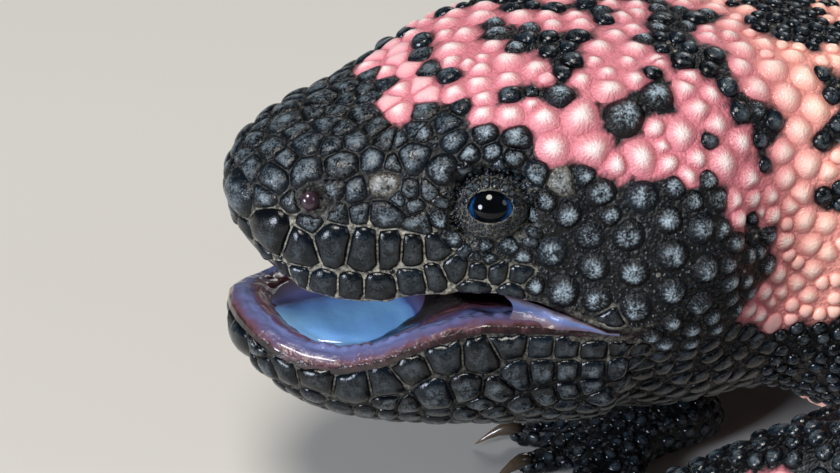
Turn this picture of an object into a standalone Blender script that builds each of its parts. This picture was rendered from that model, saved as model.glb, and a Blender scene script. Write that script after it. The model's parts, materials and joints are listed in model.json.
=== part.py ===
"""Gila monster, life size, lying on its belly with the head raised and the mouth a little open.

It faces -X with its left side towards -Y. The origin is on the flat of the belly, on the floor.
The tables below are in millimetres, and x in them runs back from the tip of the snout.
"""

import math

import bmesh
import bpy
import numpy as np
from mathutils import Matrix, Vector

# Driving dimensions
MM = 0.001
SNOUT_X = -205.0
GAP = 0.3
FLOOR = 0.0

# Head: x, half width, height of the widest place, top, underside, squareness
HEAD = (
    (0.0, 1.3, 50.0, 51.2, 48.8, 2.0),
    (0.5, 3.3, 49.6, 52.3, 47.4, 2.0),
    (1.6, 5.7, 48.8, 53.4, 44.8, 2.1),
    (4.0, 8.8, 47.8, 55.0, 40.6, 2.2),
    (9.0, 12.8, 46.6, 57.2, 34.0, 2.5),
    (14.0, 15.0, 46.0, 58.2, 28.0, 2.7),
    (20.0, 16.8, 45.6, 60.2, 22.0, 2.8),
    (28.0, 19.4, 45.0, 63.6, 17.0, 3.0),
    (36.0, 22.0, 44.4, 65.2, 15.6, 3.0),
    (44.0, 23.0, 43.6, 65.6, 15.2, 2.8),
    (52.0, 23.2, 43.0, 65.4, 13.6, 2.8),
    (58.0, 22.4, 42.4, 64.6, 13.8, 3.0),
    (62.0, 21.4, 41.6, 63.8, 14.0, 3.0),
    (66.0, 20.4, 41.0, 63.2, 14.0, 3.0),
)
# The jowl swells outwards: x and height of its middle, reach along x, reach in height, swell
JOWL = (50.5, 42.0, 14.5, 15.0, 4.2)
HEAD_END = 66.0
# Edge of the upper lip, seen from the side: x, height
UPPER_LIP = (
    (-4.0, 45.6), (2.3, 43.6), (7.0, 41.2), (10.0, 40.4), (15.0, 40.1), (20.0, 41.0), (24.0, 41.5),
    (28.0, 41.3), (32.5, 39.7), (36.0, 38.6), (41.0, 35.9), (44.3, 35.0),
)
JAW_END = 44.0
# Lower jaw: x, half width, rim, underside
JAW = (
    (0.8, 3.8, 33.4, 29.0),
    (1.6, 6.4, 33.0, 26.8),
    (3.4, 9.2, 32.0, 24.2),
    (6.4, 12.0, 31.0, 21.6),
    (10.0, 14.2, 30.8, 19.8),
    (15.0, 16.6, 32.0, 18.2),
    (20.0, 18.4, 34.0, 17.0),
    (27.0, 20.8, 36.0, 16.0),
    (33.0, 22.4, 35.8, 15.6),
    (39.0, 23.8, 35.2, 15.4),
    (44.0, 24.8, 34.4, 15.4),
)
JAW_SQUARENESS = 2.7
LIP_WIDTH = 2.4
MOUTH_FLOOR = 3.0
TONGUE = ((3.6, 3.6), (6.0, 5.2), (12.0, 6.6), (20.0, 7.4), (30.0, 7.4), (37.0, 6.4))
TONGUE_THICKNESS = 3.4

EYE_RADIUS = 3.5
EYE = (28.6, 17.0, 50.8)
EYE_TURN = math.radians(-14.0)
EYE_RISE = math.radians(12.0)
LID_RADIUS = 3.9
LID_THICKNESS = 0.85
NOSTRIL = (7.4, 12.4, 51.6)
EAR = (61.4, 23.6, 45.0)

# Neck, torso and tail: x, y, top, underside, half width, squareness.
# An underside below the floor lies flat on it.
BODY = (
    (66.0, 0.0, 63.2, 14.0, 20.4, 3.0),
    (72.0, 0.0, 62.4, 13.4, 20.6, 3.0),
    (82.0, 0.0, 59.6, 8.4, 23.4, 2.8),
    (94.0, 0.4, 54.8, 2.0, 27.0, 2.5),
    (108.0, 1.6, 50.2, -1.2, 29.6, 2.4),
    (128.0, 5.0, 47.0, -2.0, 31.6, 2.4),
    (160.0, 11.0, 45.4, -2.6, 34.0, 2.4),
    (200.0, 16.0, 45.4, -3.0, 35.4, 2.4),
    (240.0, 15.0, 43.6, -2.6, 33.0, 2.4),
    (275.0, 8.0, 39.4, -1.8, 26.4, 2.4),
    (300.0, 0.0, 34.0, -1.4, 20.6, 2.3),
    (322.0, -9.0, 31.4, -1.4, 17.0, 2.2),
    (350.0, -23.0, 29.6, -1.6, 16.0, 2.2),
    (375.0, -39.0, 26.4, -1.6, 14.4, 2.2),
    (395.0, -56.0, 21.0, -1.4, 11.4, 2.1),
    (406.0, -68.0, 15.0, -1.0, 8.0, 2.0),
    (411.0, -75.0, 9.0, -0.4, 4.6, 2.0),
    (413.0, -78.0, 5.0, 0.8, 1.6, 2.0),
)
NECK_TILT_FROM = 14.0
# Where the body is parted, as distances back along it from the rear of the head
LENGTHS = (
    ("neck", 0.0, 34.0),
    ("torso_front", 34.0, 96.0),
    ("torso_middle", 96.0, 160.0),
    ("torso_rear", 160.0, 238.0),
    ("tail_base", 238.0, 284.0),
    ("tail_middle", 284.0, 328.0),
    ("tail_tip", 328.0, None),
)

# Raised beads, as girth columns over the back and sides, with a few wide ones under the belly
BODY_COLUMNS, BODY_UNDER = 33, 6
HEAD_COLUMNS, HEAD_UNDER = 48, 6
LIMB_COLUMNS, LIMB_UNDER = 12, 2
UNDER_SHARE = 0.3
BODY_ROW, HEAD_ROW = 4.5, 2.15
BEAD_RISE = 1.0
HEAD_BEAD_RISE = 0.7
LIMB_BEAD_RISE = 0.6
LIP_RISE, LIP_HEIGHT = 0.7, 2.4

# Limbs, each as (x, y outward, height, half width) from the root to the wrist or ankle
ARM_LEFT = ((97.0, 18.0, 26.0, 11.8), (90.0, 34.0, 26.0, 10.0), (76.0, 41.5, 22.6, 9.0),
            (62.0, 36.5, 17.0, 7.6), (50.0, 30.5, 11.4, 5.9), (44.0, 28.5, 9.0, 4.9))
ARM_RIGHT = ((97.0, 18.0, 26.0, 11.8), (99.0, 34.0, 23.0, 9.8), (89.0, 40.0, 17.6, 8.6),
             (75.0, 28.0, 11.6, 6.8), (66.0, 11.5, 8.0, 5.1), (62.0, 5.0, 7.6, 4.7))
LEG_LEFT = ((292.0, 8.0, 20.0, 13.0), (282.0, 33.0, 20.0, 10.6), (266.0, 47.0, 17.0, 9.0),
            (273.0, 63.0, 13.4, 7.6), (288.0, 69.0, 10.0, 6.0), (294.0, 70.0, 8.8, 5.4))
LEG_RIGHT = ((286.0, 8.0, 20.0, 13.0), (295.0, 32.0, 20.0, 10.6), (303.0, 47.0, 17.0, 9.0),
             (319.0, 55.0, 13.4, 7.6), (332.0, 59.0, 10.0, 6.0), (337.0, 60.0, 8.8, 5.4))
LIMBS = ((ARM_LEFT, -1), (ARM_RIGHT, 1), (LEG_LEFT, -1), (LEG_RIGHT, 1))
# The skin is smooth within this distance of a limb's root, and below this height
SMOOTH_ROOT, BEADS_FROM = 20.0, 7.0
# The elbow or knee is at this point of a limb, counted from its root, and the wrist at the last
ELBOW, LIMB_POINTS = 2.0, 5.0
ELBOW_GAP, ROOT_GAP = 0.5, 0.48
WRIST_REACH = 12.0
# Hands and feet: place under the wrist, heading in degrees from -X towards outward, size
HANDS = {
    "hand_left": (ARM_LEFT, -1, 4.0, 1.0),
    "hand_right": (ARM_RIGHT, 1, -14.0, 1.0),
    "foot_left": (LEG_LEFT, -1, 62.0, 1.14),
    "foot_right": (LEG_RIGHT, 1, 50.0, 1.14),
}
DIGITS = ((-62.0, 8.5), (-30.0, 11.5), (-2.0, 13.0), (26.0, 12.0), (58.0, 9.0))
# Palm or sole as (reach ahead of the wrist, share of its half width, share of its half height)
PALM_LENGTH, PALM_WIDTH, PALM_HEIGHT = 13.0, 7.6, 4.8
PALM = ((-7.0, 0.45, 0.5), (-5.0, 0.8, 0.8), (-1.0, 0.98, 1.0), (4.0, 1.0, 0.95), (9.0, 0.96, 0.75), (13.0, 0.8, 0.55))
PALM_LIFT = 0.35
DIGIT_RADIUS = 2.5
CLAW_LENGTH, CLAW_RADIUS = 5.0, 1.25
# Digit and claw as (share of the length, height, share of the radius)
DIGIT = ((0.1, 3.7, 1.15), (0.6, 2.4, 1.0), (1.1, 1.75, 0.82), (1.28, 1.8, 0.4))
CLAW = ((-0.12, 2.1, 1.0), (0.55, 2.4, 0.75), (1.1, 0.6, 0.2))

COLOURS = {
    "scales": ((0.020, 0.026, 0.032, 1.0), 0.32),
    "eye": ((0.004, 0.010, 0.030, 1.0), 0.05),
    "tongue": ((0.12, 0.33, 0.76, 1.0), 0.25),
}


def clear_scene():
    for item in list(bpy.data.objects):
        bpy.data.objects.remove(item, do_unlink=True)


def new_collection(name):
    made = bpy.data.collections.new(name)
    bpy.context.scene.collection.children.link(made)
    return made


def material(name):
    made = bpy.data.materials.get(name)
    if made:
        return made
    made = bpy.data.materials.new(name)
    made.use_nodes = True
    shader = made.node_tree.nodes["Principled BSDF"]
    colour, roughness = COLOURS[name]
    shader.inputs["Base Color"].default_value = colour
    shader.inputs["Roughness"].default_value = roughness
    shader.inputs["Metallic"].default_value = 0.0
    return made


def place(x, y, z):
    """A point of the tables as metres in the part's frame."""
    return Vector((x + SNOUT_X, y, z)) * MM


def add_object(name, bm, collection, look="scales"):
    mesh = bpy.data.meshes.new(name)
    bmesh.ops.recalc_face_normals(bm, faces=bm.faces)
    bm.to_mesh(mesh)
    bm.free()
    mesh.materials.append(material(look))
    made = bpy.data.objects.new(name, mesh)
    collection.objects.link(made)
    return made


def smooth_table(table, at):
    """Rows of a table read between its own rows, along cubic curves through them."""
    rows = np.array(table, float)
    keys, values = rows[:, 0], rows[:, 1:]
    slopes = np.gradient(values, keys, axis=0)
    at = np.clip(at, keys[0], keys[-1])
    i = int(np.clip(np.searchsorted(keys, at, side="right") - 1, 0, len(keys) - 2))
    span = keys[i + 1] - keys[i]
    t = (at - keys[i]) / span
    return (
        (2 * t**3 - 3 * t**2 + 1) * values[i]
        + (t**3 - 2 * t**2 + t) * span * slopes[i]
        + (3 * t**2 - 2 * t**3) * values[i + 1]
        + (t**3 - t**2) * span * slopes[i + 1]
    )


def squashed_ring(half_width, up, down, squareness, shares):
    """Points round a section, from its lowest point past +Y, at these shares of its girth."""
    turn = np.linspace(-math.pi / 2, 1.5 * math.pi, 241)
    across, rise = np.cos(turn), np.sin(turn)
    power = 2 / squareness
    y = half_width * np.sign(across) * np.abs(across) ** power
    z = np.where(rise > 0, up, down) * np.sign(rise) * np.abs(rise) ** power
    walked = np.concatenate([[0], np.cumsum(np.hypot(np.diff(y), np.diff(z)))])
    wanted = (np.asarray(shares) % 1.0) * walked[-1]
    return np.interp(wanted, walked, y), np.interp(wanted, walked, z)


def girth_share(column, columns, under):
    """Share of the girth at a column, with the columns under the belly wider than the rest."""
    if column < under / 2:
        return column * UNDER_SHARE / under
    if column > columns - under / 2:
        return 1 - (columns - column) * UNDER_SHARE / under
    return UNDER_SHARE / 2 + (column - under / 2) * (1 - UNDER_SHARE) / (columns - under)


def beaded_loft(rows, columns, under, rise, raised_here=None, floor=FLOOR, swell=None):
    """A closed loft through rows of (centre, side, up, half width, top, bottom, squareness).

    Its points make a triangular net, and every third one is lifted into a bead, so that each
    bead has six lower points round it.
    """
    count = len(rows)
    net = np.zeros((count, columns, 3))
    for i, (centre, side, up, half_width, top, bottom, squareness) in enumerate(rows):
        shift = 0.5 * (i % 2)
        shares = [girth_share((j + shift) % columns, columns, under) for j in range(columns)]
        y, z = squashed_ring(half_width, top, bottom, squareness, shares)
        net[i] = np.array(centre) + np.outer(y, side) + np.outer(z, up)
    if swell:
        net = np.array([[swell(point) for point in ring] for ring in net])
    base = net.copy()
    for i in range(1, count - 1):
        for j in range(columns):
            if (j - i // 2 - i) % 3 or not under / 2 < j < columns - under / 2 - 0.5:
                continue
            if raised_here and not raised_here(base[i, j]):
                continue
            along = base[i + 1, j] - base[i - 1, j]
            around = base[i, (j + 1) % columns] - base[i, j - 1]
            normal = np.cross(around, along)
            normal /= max(np.linalg.norm(normal), 1e-9)
            if np.dot(normal, base[i, j] - np.array(rows[i][0])) < 0:
                normal = -normal
            net[i, j] = base[i, j] + normal * rise
    net[:, :, 2] = np.maximum(net[:, :, 2], floor)
    bm = bmesh.new()
    rings = [[bm.verts.new(place(*point)) for point in ring] for ring in net]
    for i in range(count - 1):
        low, high = rings[i], rings[i + 1]
        for j in range(columns):
            k = (j + 1) % columns
            if i % 2 == 0:
                bm.faces.new((low[j], low[k], high[j]))
                bm.faces.new((low[k], high[k], high[j]))
            else:
                bm.faces.new((low[j], low[k], high[k]))
                bm.faces.new((low[j], high[k], high[j]))
    for ring in (rings[0], rings[-1]):
        bm.faces.new(ring)
    bmesh.ops.remove_doubles(bm, verts=bm.verts, dist=1e-6)
    return bm


def triangulated(bm):
    bmesh.ops.triangulate(bm, faces=[face for face in bm.faces if len(face.verts) > 3])
    return bm


def frame_at(points, i):
    """Side and up directions of a section square to a path at its point i."""
    ahead = points[min(i + 1, len(points) - 1)] - points[max(i - 1, 0)]
    ahead = ahead / np.linalg.norm(ahead)
    side = np.cross(np.array((0.0, 0.0, 1.0)), ahead)
    side /= np.linalg.norm(side)
    return side, np.cross(ahead, side)


def apply_boolean(target, operation, others, solver="EXACT"):
    """Joins or cuts with a collection of closed meshes, applies it and removes them."""
    helpers = new_collection(target.name + "_helpers")
    for other in others:
        for holder in list(other.users_collection):
            holder.objects.unlink(other)
        helpers.objects.link(other)
        other.hide_render = True
        other.display_type = "WIRE"
    modifier = target.modifiers.new("join", "BOOLEAN")
    modifier.operation = operation
    modifier.operand_type = "COLLECTION"
    modifier.collection = helpers
    modifier.solver = solver
    graph = bpy.context.evaluated_depsgraph_get()
    graph.update()
    made = bpy.data.meshes.new_from_object(target.evaluated_get(graph))
    target.modifiers.clear()
    target.data = made
    for other in list(helpers.objects):
        bpy.data.objects.remove(other, do_unlink=True)
    bpy.data.collections.remove(helpers)
    keep_largest(target)


def keep_largest(target):
    """Drops every closed surface of a mesh but the largest one."""
    bm = bmesh.new()
    bm.from_mesh(target.data)
    bmesh.ops.remove_doubles(bm, verts=bm.verts, dist=2e-6)
    bmesh.ops.dissolve_degenerate(bm, edges=bm.edges, dist=1e-6)
    bm.verts.ensure_lookup_table()
    seen, groups = set(), []
    for start in bm.verts:
        if start in seen:
            continue
        group, queue = [], [start]
        seen.add(start)
        while queue:
            vert = queue.pop()
            group.append(vert)
            for edge in vert.link_edges:
                other = edge.other_vert(vert)
                if other not in seen:
                    seen.add(other)
                    queue.append(other)
        groups.append(group)
    groups.sort(key=len)
    loose = [vert for group in groups[:-1] for vert in group]
    bmesh.ops.delete(bm, geom=loose, context="VERTS")
    bm.to_mesh(target.data)
    bm.free()


def ellipsoid(name, centre, radii, collection, turn=None, segments=12, rings=8):
    bm = bmesh.new()
    bmesh.ops.create_uvsphere(bm, u_segments=segments, v_segments=rings, radius=1.0)
    matrix = Matrix.Translation(place(*centre)) @ (turn or Matrix.Identity(4))
    matrix = matrix @ Matrix.Diagonal((*[r * MM for r in radii], 1.0))
    bmesh.ops.transform(bm, matrix=matrix, verts=bm.verts)
    return add_object(name, bm, collection)


def eye_turn(side):
    """Turns +X outwards along an eye's line of sight, side being -1 for the left."""
    heading = math.radians(90.0 * side) - side * EYE_TURN
    return Matrix.Rotation(heading, 4, "Z") @ Matrix.Rotation(-EYE_RISE, 4, "Y")


def head_rows():
    stations = [0.0, 0.5, 1.5, 3.0, 4.8]
    while stations[-1] + HEAD_ROW < HEAD_END - 0.8:
        stations.append(stations[-1] + HEAD_ROW)
    stations.append(HEAD_END)
    rows = []
    for x in stations:
        half_width, widest, top, under, squareness = smooth_table(HEAD, x)
        centre = (x, 0.0, widest)
        rows.append((centre, (0, 1, 0), (0, 0, 1), half_width, top - widest, widest - under, squareness))
    return rows


def with_jowl_and_lip(point):
    """A point of the head moved outwards where the jowl swells and along the upper lip."""
    x, height, along, rise, swell = JOWL
    near = ((point[0] - x) / along) ** 2 + ((point[2] - height) / rise) ** 2
    out = swell * max(0.0, 1.0 - near) ** 1.3 * min(1.0, abs(point[1]) / 12.0)
    above_lip = (point[2] - smooth_lip(point[0])[1] - LIP_HEIGHT / 2) / LIP_HEIGHT
    if point[0] < HEAD_END - 18.0:
        out += LIP_RISE * max(0.0, 1.0 - above_lip**2) * min(1.0, abs(point[1]) / 4.0)
    return point + np.array((0.0, math.copysign(out, point[1]), 0.0))


def build_head(collection):
    eye_points = [np.array((EYE[0], side * EYE[1], EYE[2])) for side in (-1, 1)]

    def raised_here(point):
        near_eye = min(np.linalg.norm(point - eye) for eye in eye_points) < EYE_RADIUS + 2.2
        return point[0] > 2.0 and not near_eye

    bm = beaded_loft(head_rows(), HEAD_COLUMNS, HEAD_UNDER, HEAD_BEAD_RISE, raised_here, swell=with_jowl_and_lip)
    head = add_object("head", triangulated(bm), collection)
    cutters = [mouth_cutter(collection)]
    for side in (-1, 1):
        eye = (EYE[0], side * EYE[1], EYE[2])
        hole = EYE_RADIUS + GAP
        cutters.append(ellipsoid("socket", eye, (hole,) * 3, collection, eye_turn(side), 16, 10))
        nose = (NOSTRIL[0], side * NOSTRIL[1], NOSTRIL[2])
        cutters.append(ellipsoid("nostril", nose, (1.7, 2.0, 1.4), collection))
        ear = (EAR[0], side * EAR[1], EAR[2])
        cutters.append(ellipsoid("ear", ear, (1.6, 2.6, 4.6), collection))
    apply_boolean(head, "UNION", [lid(side, collection) for side in (-1, 1)])
    apply_boolean(head, "DIFFERENCE", cutters)
    return head


def mouth_cutter(collection):
    """A block whose upper side follows the edge of the upper lip, and whose back ends the jaw."""
    bm = bmesh.new()
    outline = [smooth_lip(x) for x in np.linspace(UPPER_LIP[0][0], UPPER_LIP[-1][0], 24)]
    outline += [(UPPER_LIP[-1][0], 5.0), (UPPER_LIP[0][0], 5.0)]
    verts = [bm.verts.new(place(x, -40.0, z)) for x, z in outline]
    face = bm.faces.new(verts)
    moved = bmesh.ops.extrude_face_region(bm, geom=[face])["geom"]
    across = Vector((0.0, 80.0 * MM, 0.0))
    bmesh.ops.translate(bm, vec=across, verts=[v for v in moved if isinstance(v, bmesh.types.BMVert)])
    bmesh.ops.recalc_face_normals(bm, faces=bm.faces)
    bmesh.ops.triangulate(bm, faces=bm.faces)
    return add_object("mouth", bm, collection)


def smooth_lip(x):
    return x, float(smooth_table(UPPER_LIP, x)[0])


def lid(side, collection):
    """Upper and lower lid as one almond rim round the eye."""
    bm = bmesh.new()
    bmesh.ops.create_circle(bm, segments=8, radius=LID_THICKNESS * MM)
    bmesh.ops.rotate(bm, verts=bm.verts, cent=(0, 0, 0), matrix=Matrix.Rotation(math.pi / 2, 3, "X"))
    bmesh.ops.translate(bm, verts=bm.verts, vec=(LID_RADIUS * MM, 0, 0))
    bmesh.ops.spin(bm, geom=bm.verts[:] + bm.edges[:], cent=(0, 0, 0), axis=(0, 0, 1),
                   angle=2 * math.pi, steps=18, use_merge=True)
    bmesh.ops.remove_doubles(bm, verts=bm.verts, dist=1e-6)
    upright = Matrix.Rotation(math.pi / 2, 4, "Y")
    almond = Matrix.Diagonal((1.0, 1.0, 0.72, 1.0))
    ahead = Matrix.Translation((2.2 * MM, 0, 0))
    eye = place(EYE[0], side * EYE[1], EYE[2])
    matrix = Matrix.Translation(eye) @ eye_turn(side) @ ahead @ almond @ upright
    bmesh.ops.transform(bm, matrix=matrix, verts=bm.verts)
    return add_object("lid", bm, collection)


def build_eye(name, side, collection):
    eye = (EYE[0], side * EYE[1], EYE[2])
    made = ellipsoid(name, eye, (EYE_RADIUS,) * 3, collection, eye_turn(side), 16, 10)
    made.data.materials.clear()
    made.data.materials.append(material("eye"))
    return made


def build_jaw(collection):
    """Mandible with a lip round its rim and the floor of the mouth sunk inside it."""
    bm = bmesh.new()
    rings = []
    outer = 19
    for x in (0.8, 1.6, 3.4, 6.0, 9.0, 12.0, 15.5, 19.0, 22.5, 26.0, 29.5, 33.0, 36.5, 40.0, JAW_END):
        half_width, rim, under = smooth_table(JAW, x)
        turn = np.linspace(math.pi, 2 * math.pi, outer)
        power = 2 / JAW_SQUARENESS
        y = half_width * np.sign(np.cos(turn)) * np.abs(np.cos(turn)) ** power
        z = rim - (rim - under) * np.abs(np.sin(turn)) ** power
        inside = half_width - min(LIP_WIDTH, half_width * 0.4)
        depth = min(MOUTH_FLOOR, (rim - under) * 0.4)
        floor_half = inside * 0.86
        points = list(zip(y, z))
        points += [(half_width - 0.7, rim + 0.7), (inside, rim + 0.3)]
        points += [(floor_half, rim - depth), (0.0, rim - depth), (-floor_half, rim - depth)]
        points += [(-inside, rim + 0.3), (-half_width + 0.7, rim + 0.7)]
        rings.append([bm.verts.new(place(x, a, b)) for a, b in points])
    for low, high in zip(rings, rings[1:]):
        for j in range(len(low)):
            k = (j + 1) % len(low)
            bm.faces.new((low[j], low[k], high[k], high[j]))
    bm.faces.new(rings[0])
    bm.faces.new(rings[-1])
    bmesh.ops.triangulate(bm, faces=bm.faces)
    return add_object("lower_jaw", bm, collection)


def build_tongue(collection):
    rows = []
    for x in (3.6, 4.6, 7.0, 11.0, 16.0, 21.0, 26.0, 31.0, 36.0, 37.0):
        half_width = float(smooth_table(TONGUE, x)[0])
        half_width *= {3.6: 0.4, 37.0: 0.7}.get(x, 1.0)
        rim, under = smooth_table(JAW, x)[1:]
        floor = rim - min(MOUTH_FLOOR, (rim - under) * 0.4) + GAP + 0.1
        thick = TONGUE_THICKNESS * {3.6: 0.4, 37.0: 0.7}.get(x, 1.0)
        rows.append(((x, 0.0, floor + thick / 2), (0, 1, 0), (0, 0, 1), half_width, thick / 2, thick / 2, 2.4))
    bm = beaded_loft(rows, 12, 2, 0.0)
    return add_object("tongue", triangulated(bm), collection, "tongue")


def body_path():
    """Closely spaced sections of neck, torso and tail with their distance along the body."""
    table = [(x, y, (top + under) / 2, top, under, *rest) for x, y, top, under, *rest in BODY]
    steps = np.linspace(BODY[0][0], BODY[-1][0], 400)
    values = np.array([np.concatenate([[x], smooth_table(table, x)]) for x in steps])
    walked = np.concatenate([[0], np.cumsum(np.linalg.norm(np.diff(values[:, :3], axis=0), axis=1))])
    return walked, values


def body_section(path, at):
    """Section of the body at a distance along it."""
    walked, values = path
    read = [float(np.interp(at, walked, values[:, k])) for k in range(7)]
    x, y, middle, top, under, half, squareness = read
    near = np.array([[np.interp(at + d, walked, values[:, k]) for k in range(3)] for d in (-1.5, 1.5)])
    ahead = near[1] - near[0]
    ahead[2] *= 0.5 * min(1.0, max(0.0, at - 1.0) / NECK_TILT_FROM)
    ahead /= np.linalg.norm(ahead)
    side = np.cross((0.0, 0.0, 1.0), ahead)
    side /= np.linalg.norm(side)
    up = np.cross(ahead, side)
    return (x, y, middle), side, up, half, top - middle, middle - under, squareness


def from_line(point, start, end):
    """Distance of a point from the line between two others."""
    way = end - start
    share = np.clip(np.dot(point - start, way) / np.dot(way, way), 0.0, 1.0)
    return np.linalg.norm(point - start - way * share)


def build_body(collection):
    path = body_path()
    end = path[0][-1]
    roots = [[np.array((x, side * y, z)) for x, y, z, half in limb[:2]] for limb, side in LIMBS]

    def raised_here(point):
        return point[2] > BEADS_FROM and min(from_line(point, *root) for root in roots) > SMOOTH_ROOT

    made = []
    for name, start, stop in LENGTHS:
        low = start + GAP / 2
        high = (stop if stop else end) - GAP / 2
        count = max(3, round((high - low) / BODY_ROW))
        rows = [body_section(path, at) for at in np.linspace(low, high, count + 1)]
        bm = beaded_loft(rows, BODY_COLUMNS, BODY_UNDER, BEAD_RISE, raised_here)
        made.append(add_object(name, triangulated(bm), collection))
    return made


def body_cutter(collection, grow):
    """The body without its beads and a little larger, to cut the root of each limb to it."""
    path = body_path()
    rows = []
    for at in np.linspace(0.5, path[0][-1] - 1.0, 110):
        centre, side, up, half, top, bottom, squareness = body_section(path, at)
        rows.append((centre, side, up, half + grow, top + grow, bottom + grow, squareness))
    bm = beaded_loft(rows, BODY_COLUMNS, BODY_UNDER, 0.0)
    return add_object("body_cutter", triangulated(bm), collection)


def limb_rows(points, side, low, high, grow=0.0):
    """Sections of a limb between two of its points, as shares of its length."""
    table = [(i, *point) for i, point in enumerate(points)]
    count = max(3, round((high - low) * 4.0))
    mirror = np.array((1.0, side, 1.0))
    rows = []
    for t in np.linspace(low, high, count + 1):
        centre, half = smooth_table(table, t)[:3] * mirror, smooth_table(table, t)[3] + grow
        facing = ELBOW if abs(t - ELBOW) < 0.1 else t
        near = [smooth_table(table, facing + d)[:3] * mirror for d in (-0.3, 0.3)]
        across, up = frame_at(near, 0)
        rows.append((centre, across, up, half * 1.06, half * 0.92, half * 0.92, 2.1))
    return rows


def build_limb(points, side, upper, lower, collection):
    """Upper and lower length of a limb, parted at the elbow or knee."""
    low, high = limb_parting(points)
    wrist = np.array((points[-1][0], side * points[-1][1], points[-1][2]))

    def raised_here(point):
        return point[2] > 3.0 and np.linalg.norm(point - wrist) > WRIST_REACH

    rows = limb_rows(points, side, 0.0, low)
    bm = beaded_loft(rows, LIMB_COLUMNS, LIMB_UNDER, LIMB_BEAD_RISE, raised_here)
    first = add_object(upper, triangulated(bm), collection)
    apply_boolean(first, "DIFFERENCE", [body_cutter(collection, ROOT_GAP)])
    rows = limb_rows(points, side, high, LIMB_POINTS)
    bm = beaded_loft(rows, LIMB_COLUMNS, LIMB_UNDER, LIMB_BEAD_RISE, raised_here)
    second = add_object(lower, triangulated(bm), collection)
    return first, second


def limb_parting(points):
    """Where the upper length of a limb ends and the lower one starts, a gap apart."""
    table = [(i, *point) for i, point in enumerate(points)]
    near = [smooth_table(table, ELBOW + d)[:3] for d in (-0.05, 0.05)]
    share = ELBOW_GAP / 2 * 0.1 / np.linalg.norm(near[1] - near[0])
    return ELBOW - share, ELBOW + share


def tapered(name, points, radii, collection, columns=8):
    """A round tapering length through points, each with its radius."""
    rows = []
    path = [np.array(point, float) for point in points]
    for i, point in enumerate(path):
        across, up = frame_at(path, i)
        rows.append((point, across, up, radii[i], radii[i], radii[i], 2.0))
    return add_object(name, triangulated(beaded_loft(rows, columns, 2, 0.0)), collection)


def wrist_cutter(limb, side, collection):
    """The end of a limb made a gap larger, to sink it into its hand or foot."""
    rows = limb_rows(limb, side, limb_parting(limb)[1], LIMB_POINTS, GAP)
    last = rows[-1][0] - rows[-2][0]
    end = rows[-1][0] + last / np.linalg.norm(last) * GAP
    rows[-1] = (end, *rows[-1][1:])
    return add_object("wrist", triangulated(beaded_loft(rows, LIMB_COLUMNS, LIMB_UNDER, 0.0)), collection)


def build_hand(name, collection):
    """Palm or sole with five digits and their claws, joined into one body."""
    limb, side, heading, size = HANDS[name]
    wrist = np.array((limb[-1][0], side * limb[-1][1], 0.0))
    turn = math.radians(heading)
    ahead = np.array((-math.cos(turn), side * math.sin(turn), 0.0))
    across = np.array((-ahead[1], ahead[0], 0.0)) * side
    rows = []
    for reach, share, rise in PALM:
        centre = wrist + ahead * reach * size + np.array((0.0, 0.0, PALM_HEIGHT * size * rise - 0.5))
        high = PALM_HEIGHT * size * rise
        rows.append((centre, across * side, (0, 0, 1), PALM_WIDTH * size * share, high, high, 2.3))
    palm = add_object(name, triangulated(beaded_loft(rows, 12, 2, 0.0, floor=PALM_LIFT)), collection)
    root = wrist + ahead * PALM_LENGTH * size * 0.62
    pieces = []
    for k, (splay, reach) in enumerate(DIGITS):
        angle = math.radians(splay)
        way = ahead * math.cos(angle) + across * math.sin(angle)
        thick = DIGIT_RADIUS * size * (0.9 if k in (0, 4) else 1.0)
        begin = root + across * math.sin(angle) * PALM_WIDTH * size * 0.4
        knots = [begin + way * reach * size * share for share, lift, girth in DIGIT]
        for knot, (share, lift, girth) in zip(knots, DIGIT):
            knot[2] = lift * size
        pieces.append(tapered("digit", knots, [thick * girth for share, lift, girth in DIGIT], collection, 6))
        tip = knots[-2]
        curve = [tip + way * CLAW_LENGTH * size * share for share, lift, girth in CLAW]
        for knot, (share, lift, girth) in zip(curve, CLAW):
            knot[2] = lift * size
        sizes = [CLAW_RADIUS * size * girth for share, lift, girth in CLAW]
        pieces.append(tapered("claw", curve, sizes, collection, 5))
    apply_boolean(palm, "UNION", pieces)
    apply_boolean(palm, "DIFFERENCE", [wrist_cutter(limb, side, collection)])
    return palm


def main():
    clear_scene()
    animal = new_collection("gila_monster")
    build_head(animal)
    build_jaw(animal)
    build_tongue(animal)
    build_eye("eye_left", -1, animal)
    build_eye("eye_right", 1, animal)
    build_body(animal)
    build_limb(ARM_LEFT, -1, "upper_arm_left", "forearm_left", animal)
    build_limb(ARM_RIGHT, 1, "upper_arm_right", "forearm_right", animal)
    build_limb(LEG_LEFT, -1, "thigh_left", "shin_left", animal)
    build_limb(LEG_RIGHT, 1, "thigh_right", "shin_right", animal)
    for name in HANDS:
        build_hand(name, animal)


main()
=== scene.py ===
import json
import math
import bpy
import bmesh
import numpy as np
from mathutils import Matrix, Vector, noise
from mathutils.bvhtree import BVHTree
from mathutils.kdtree import KDTree

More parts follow.
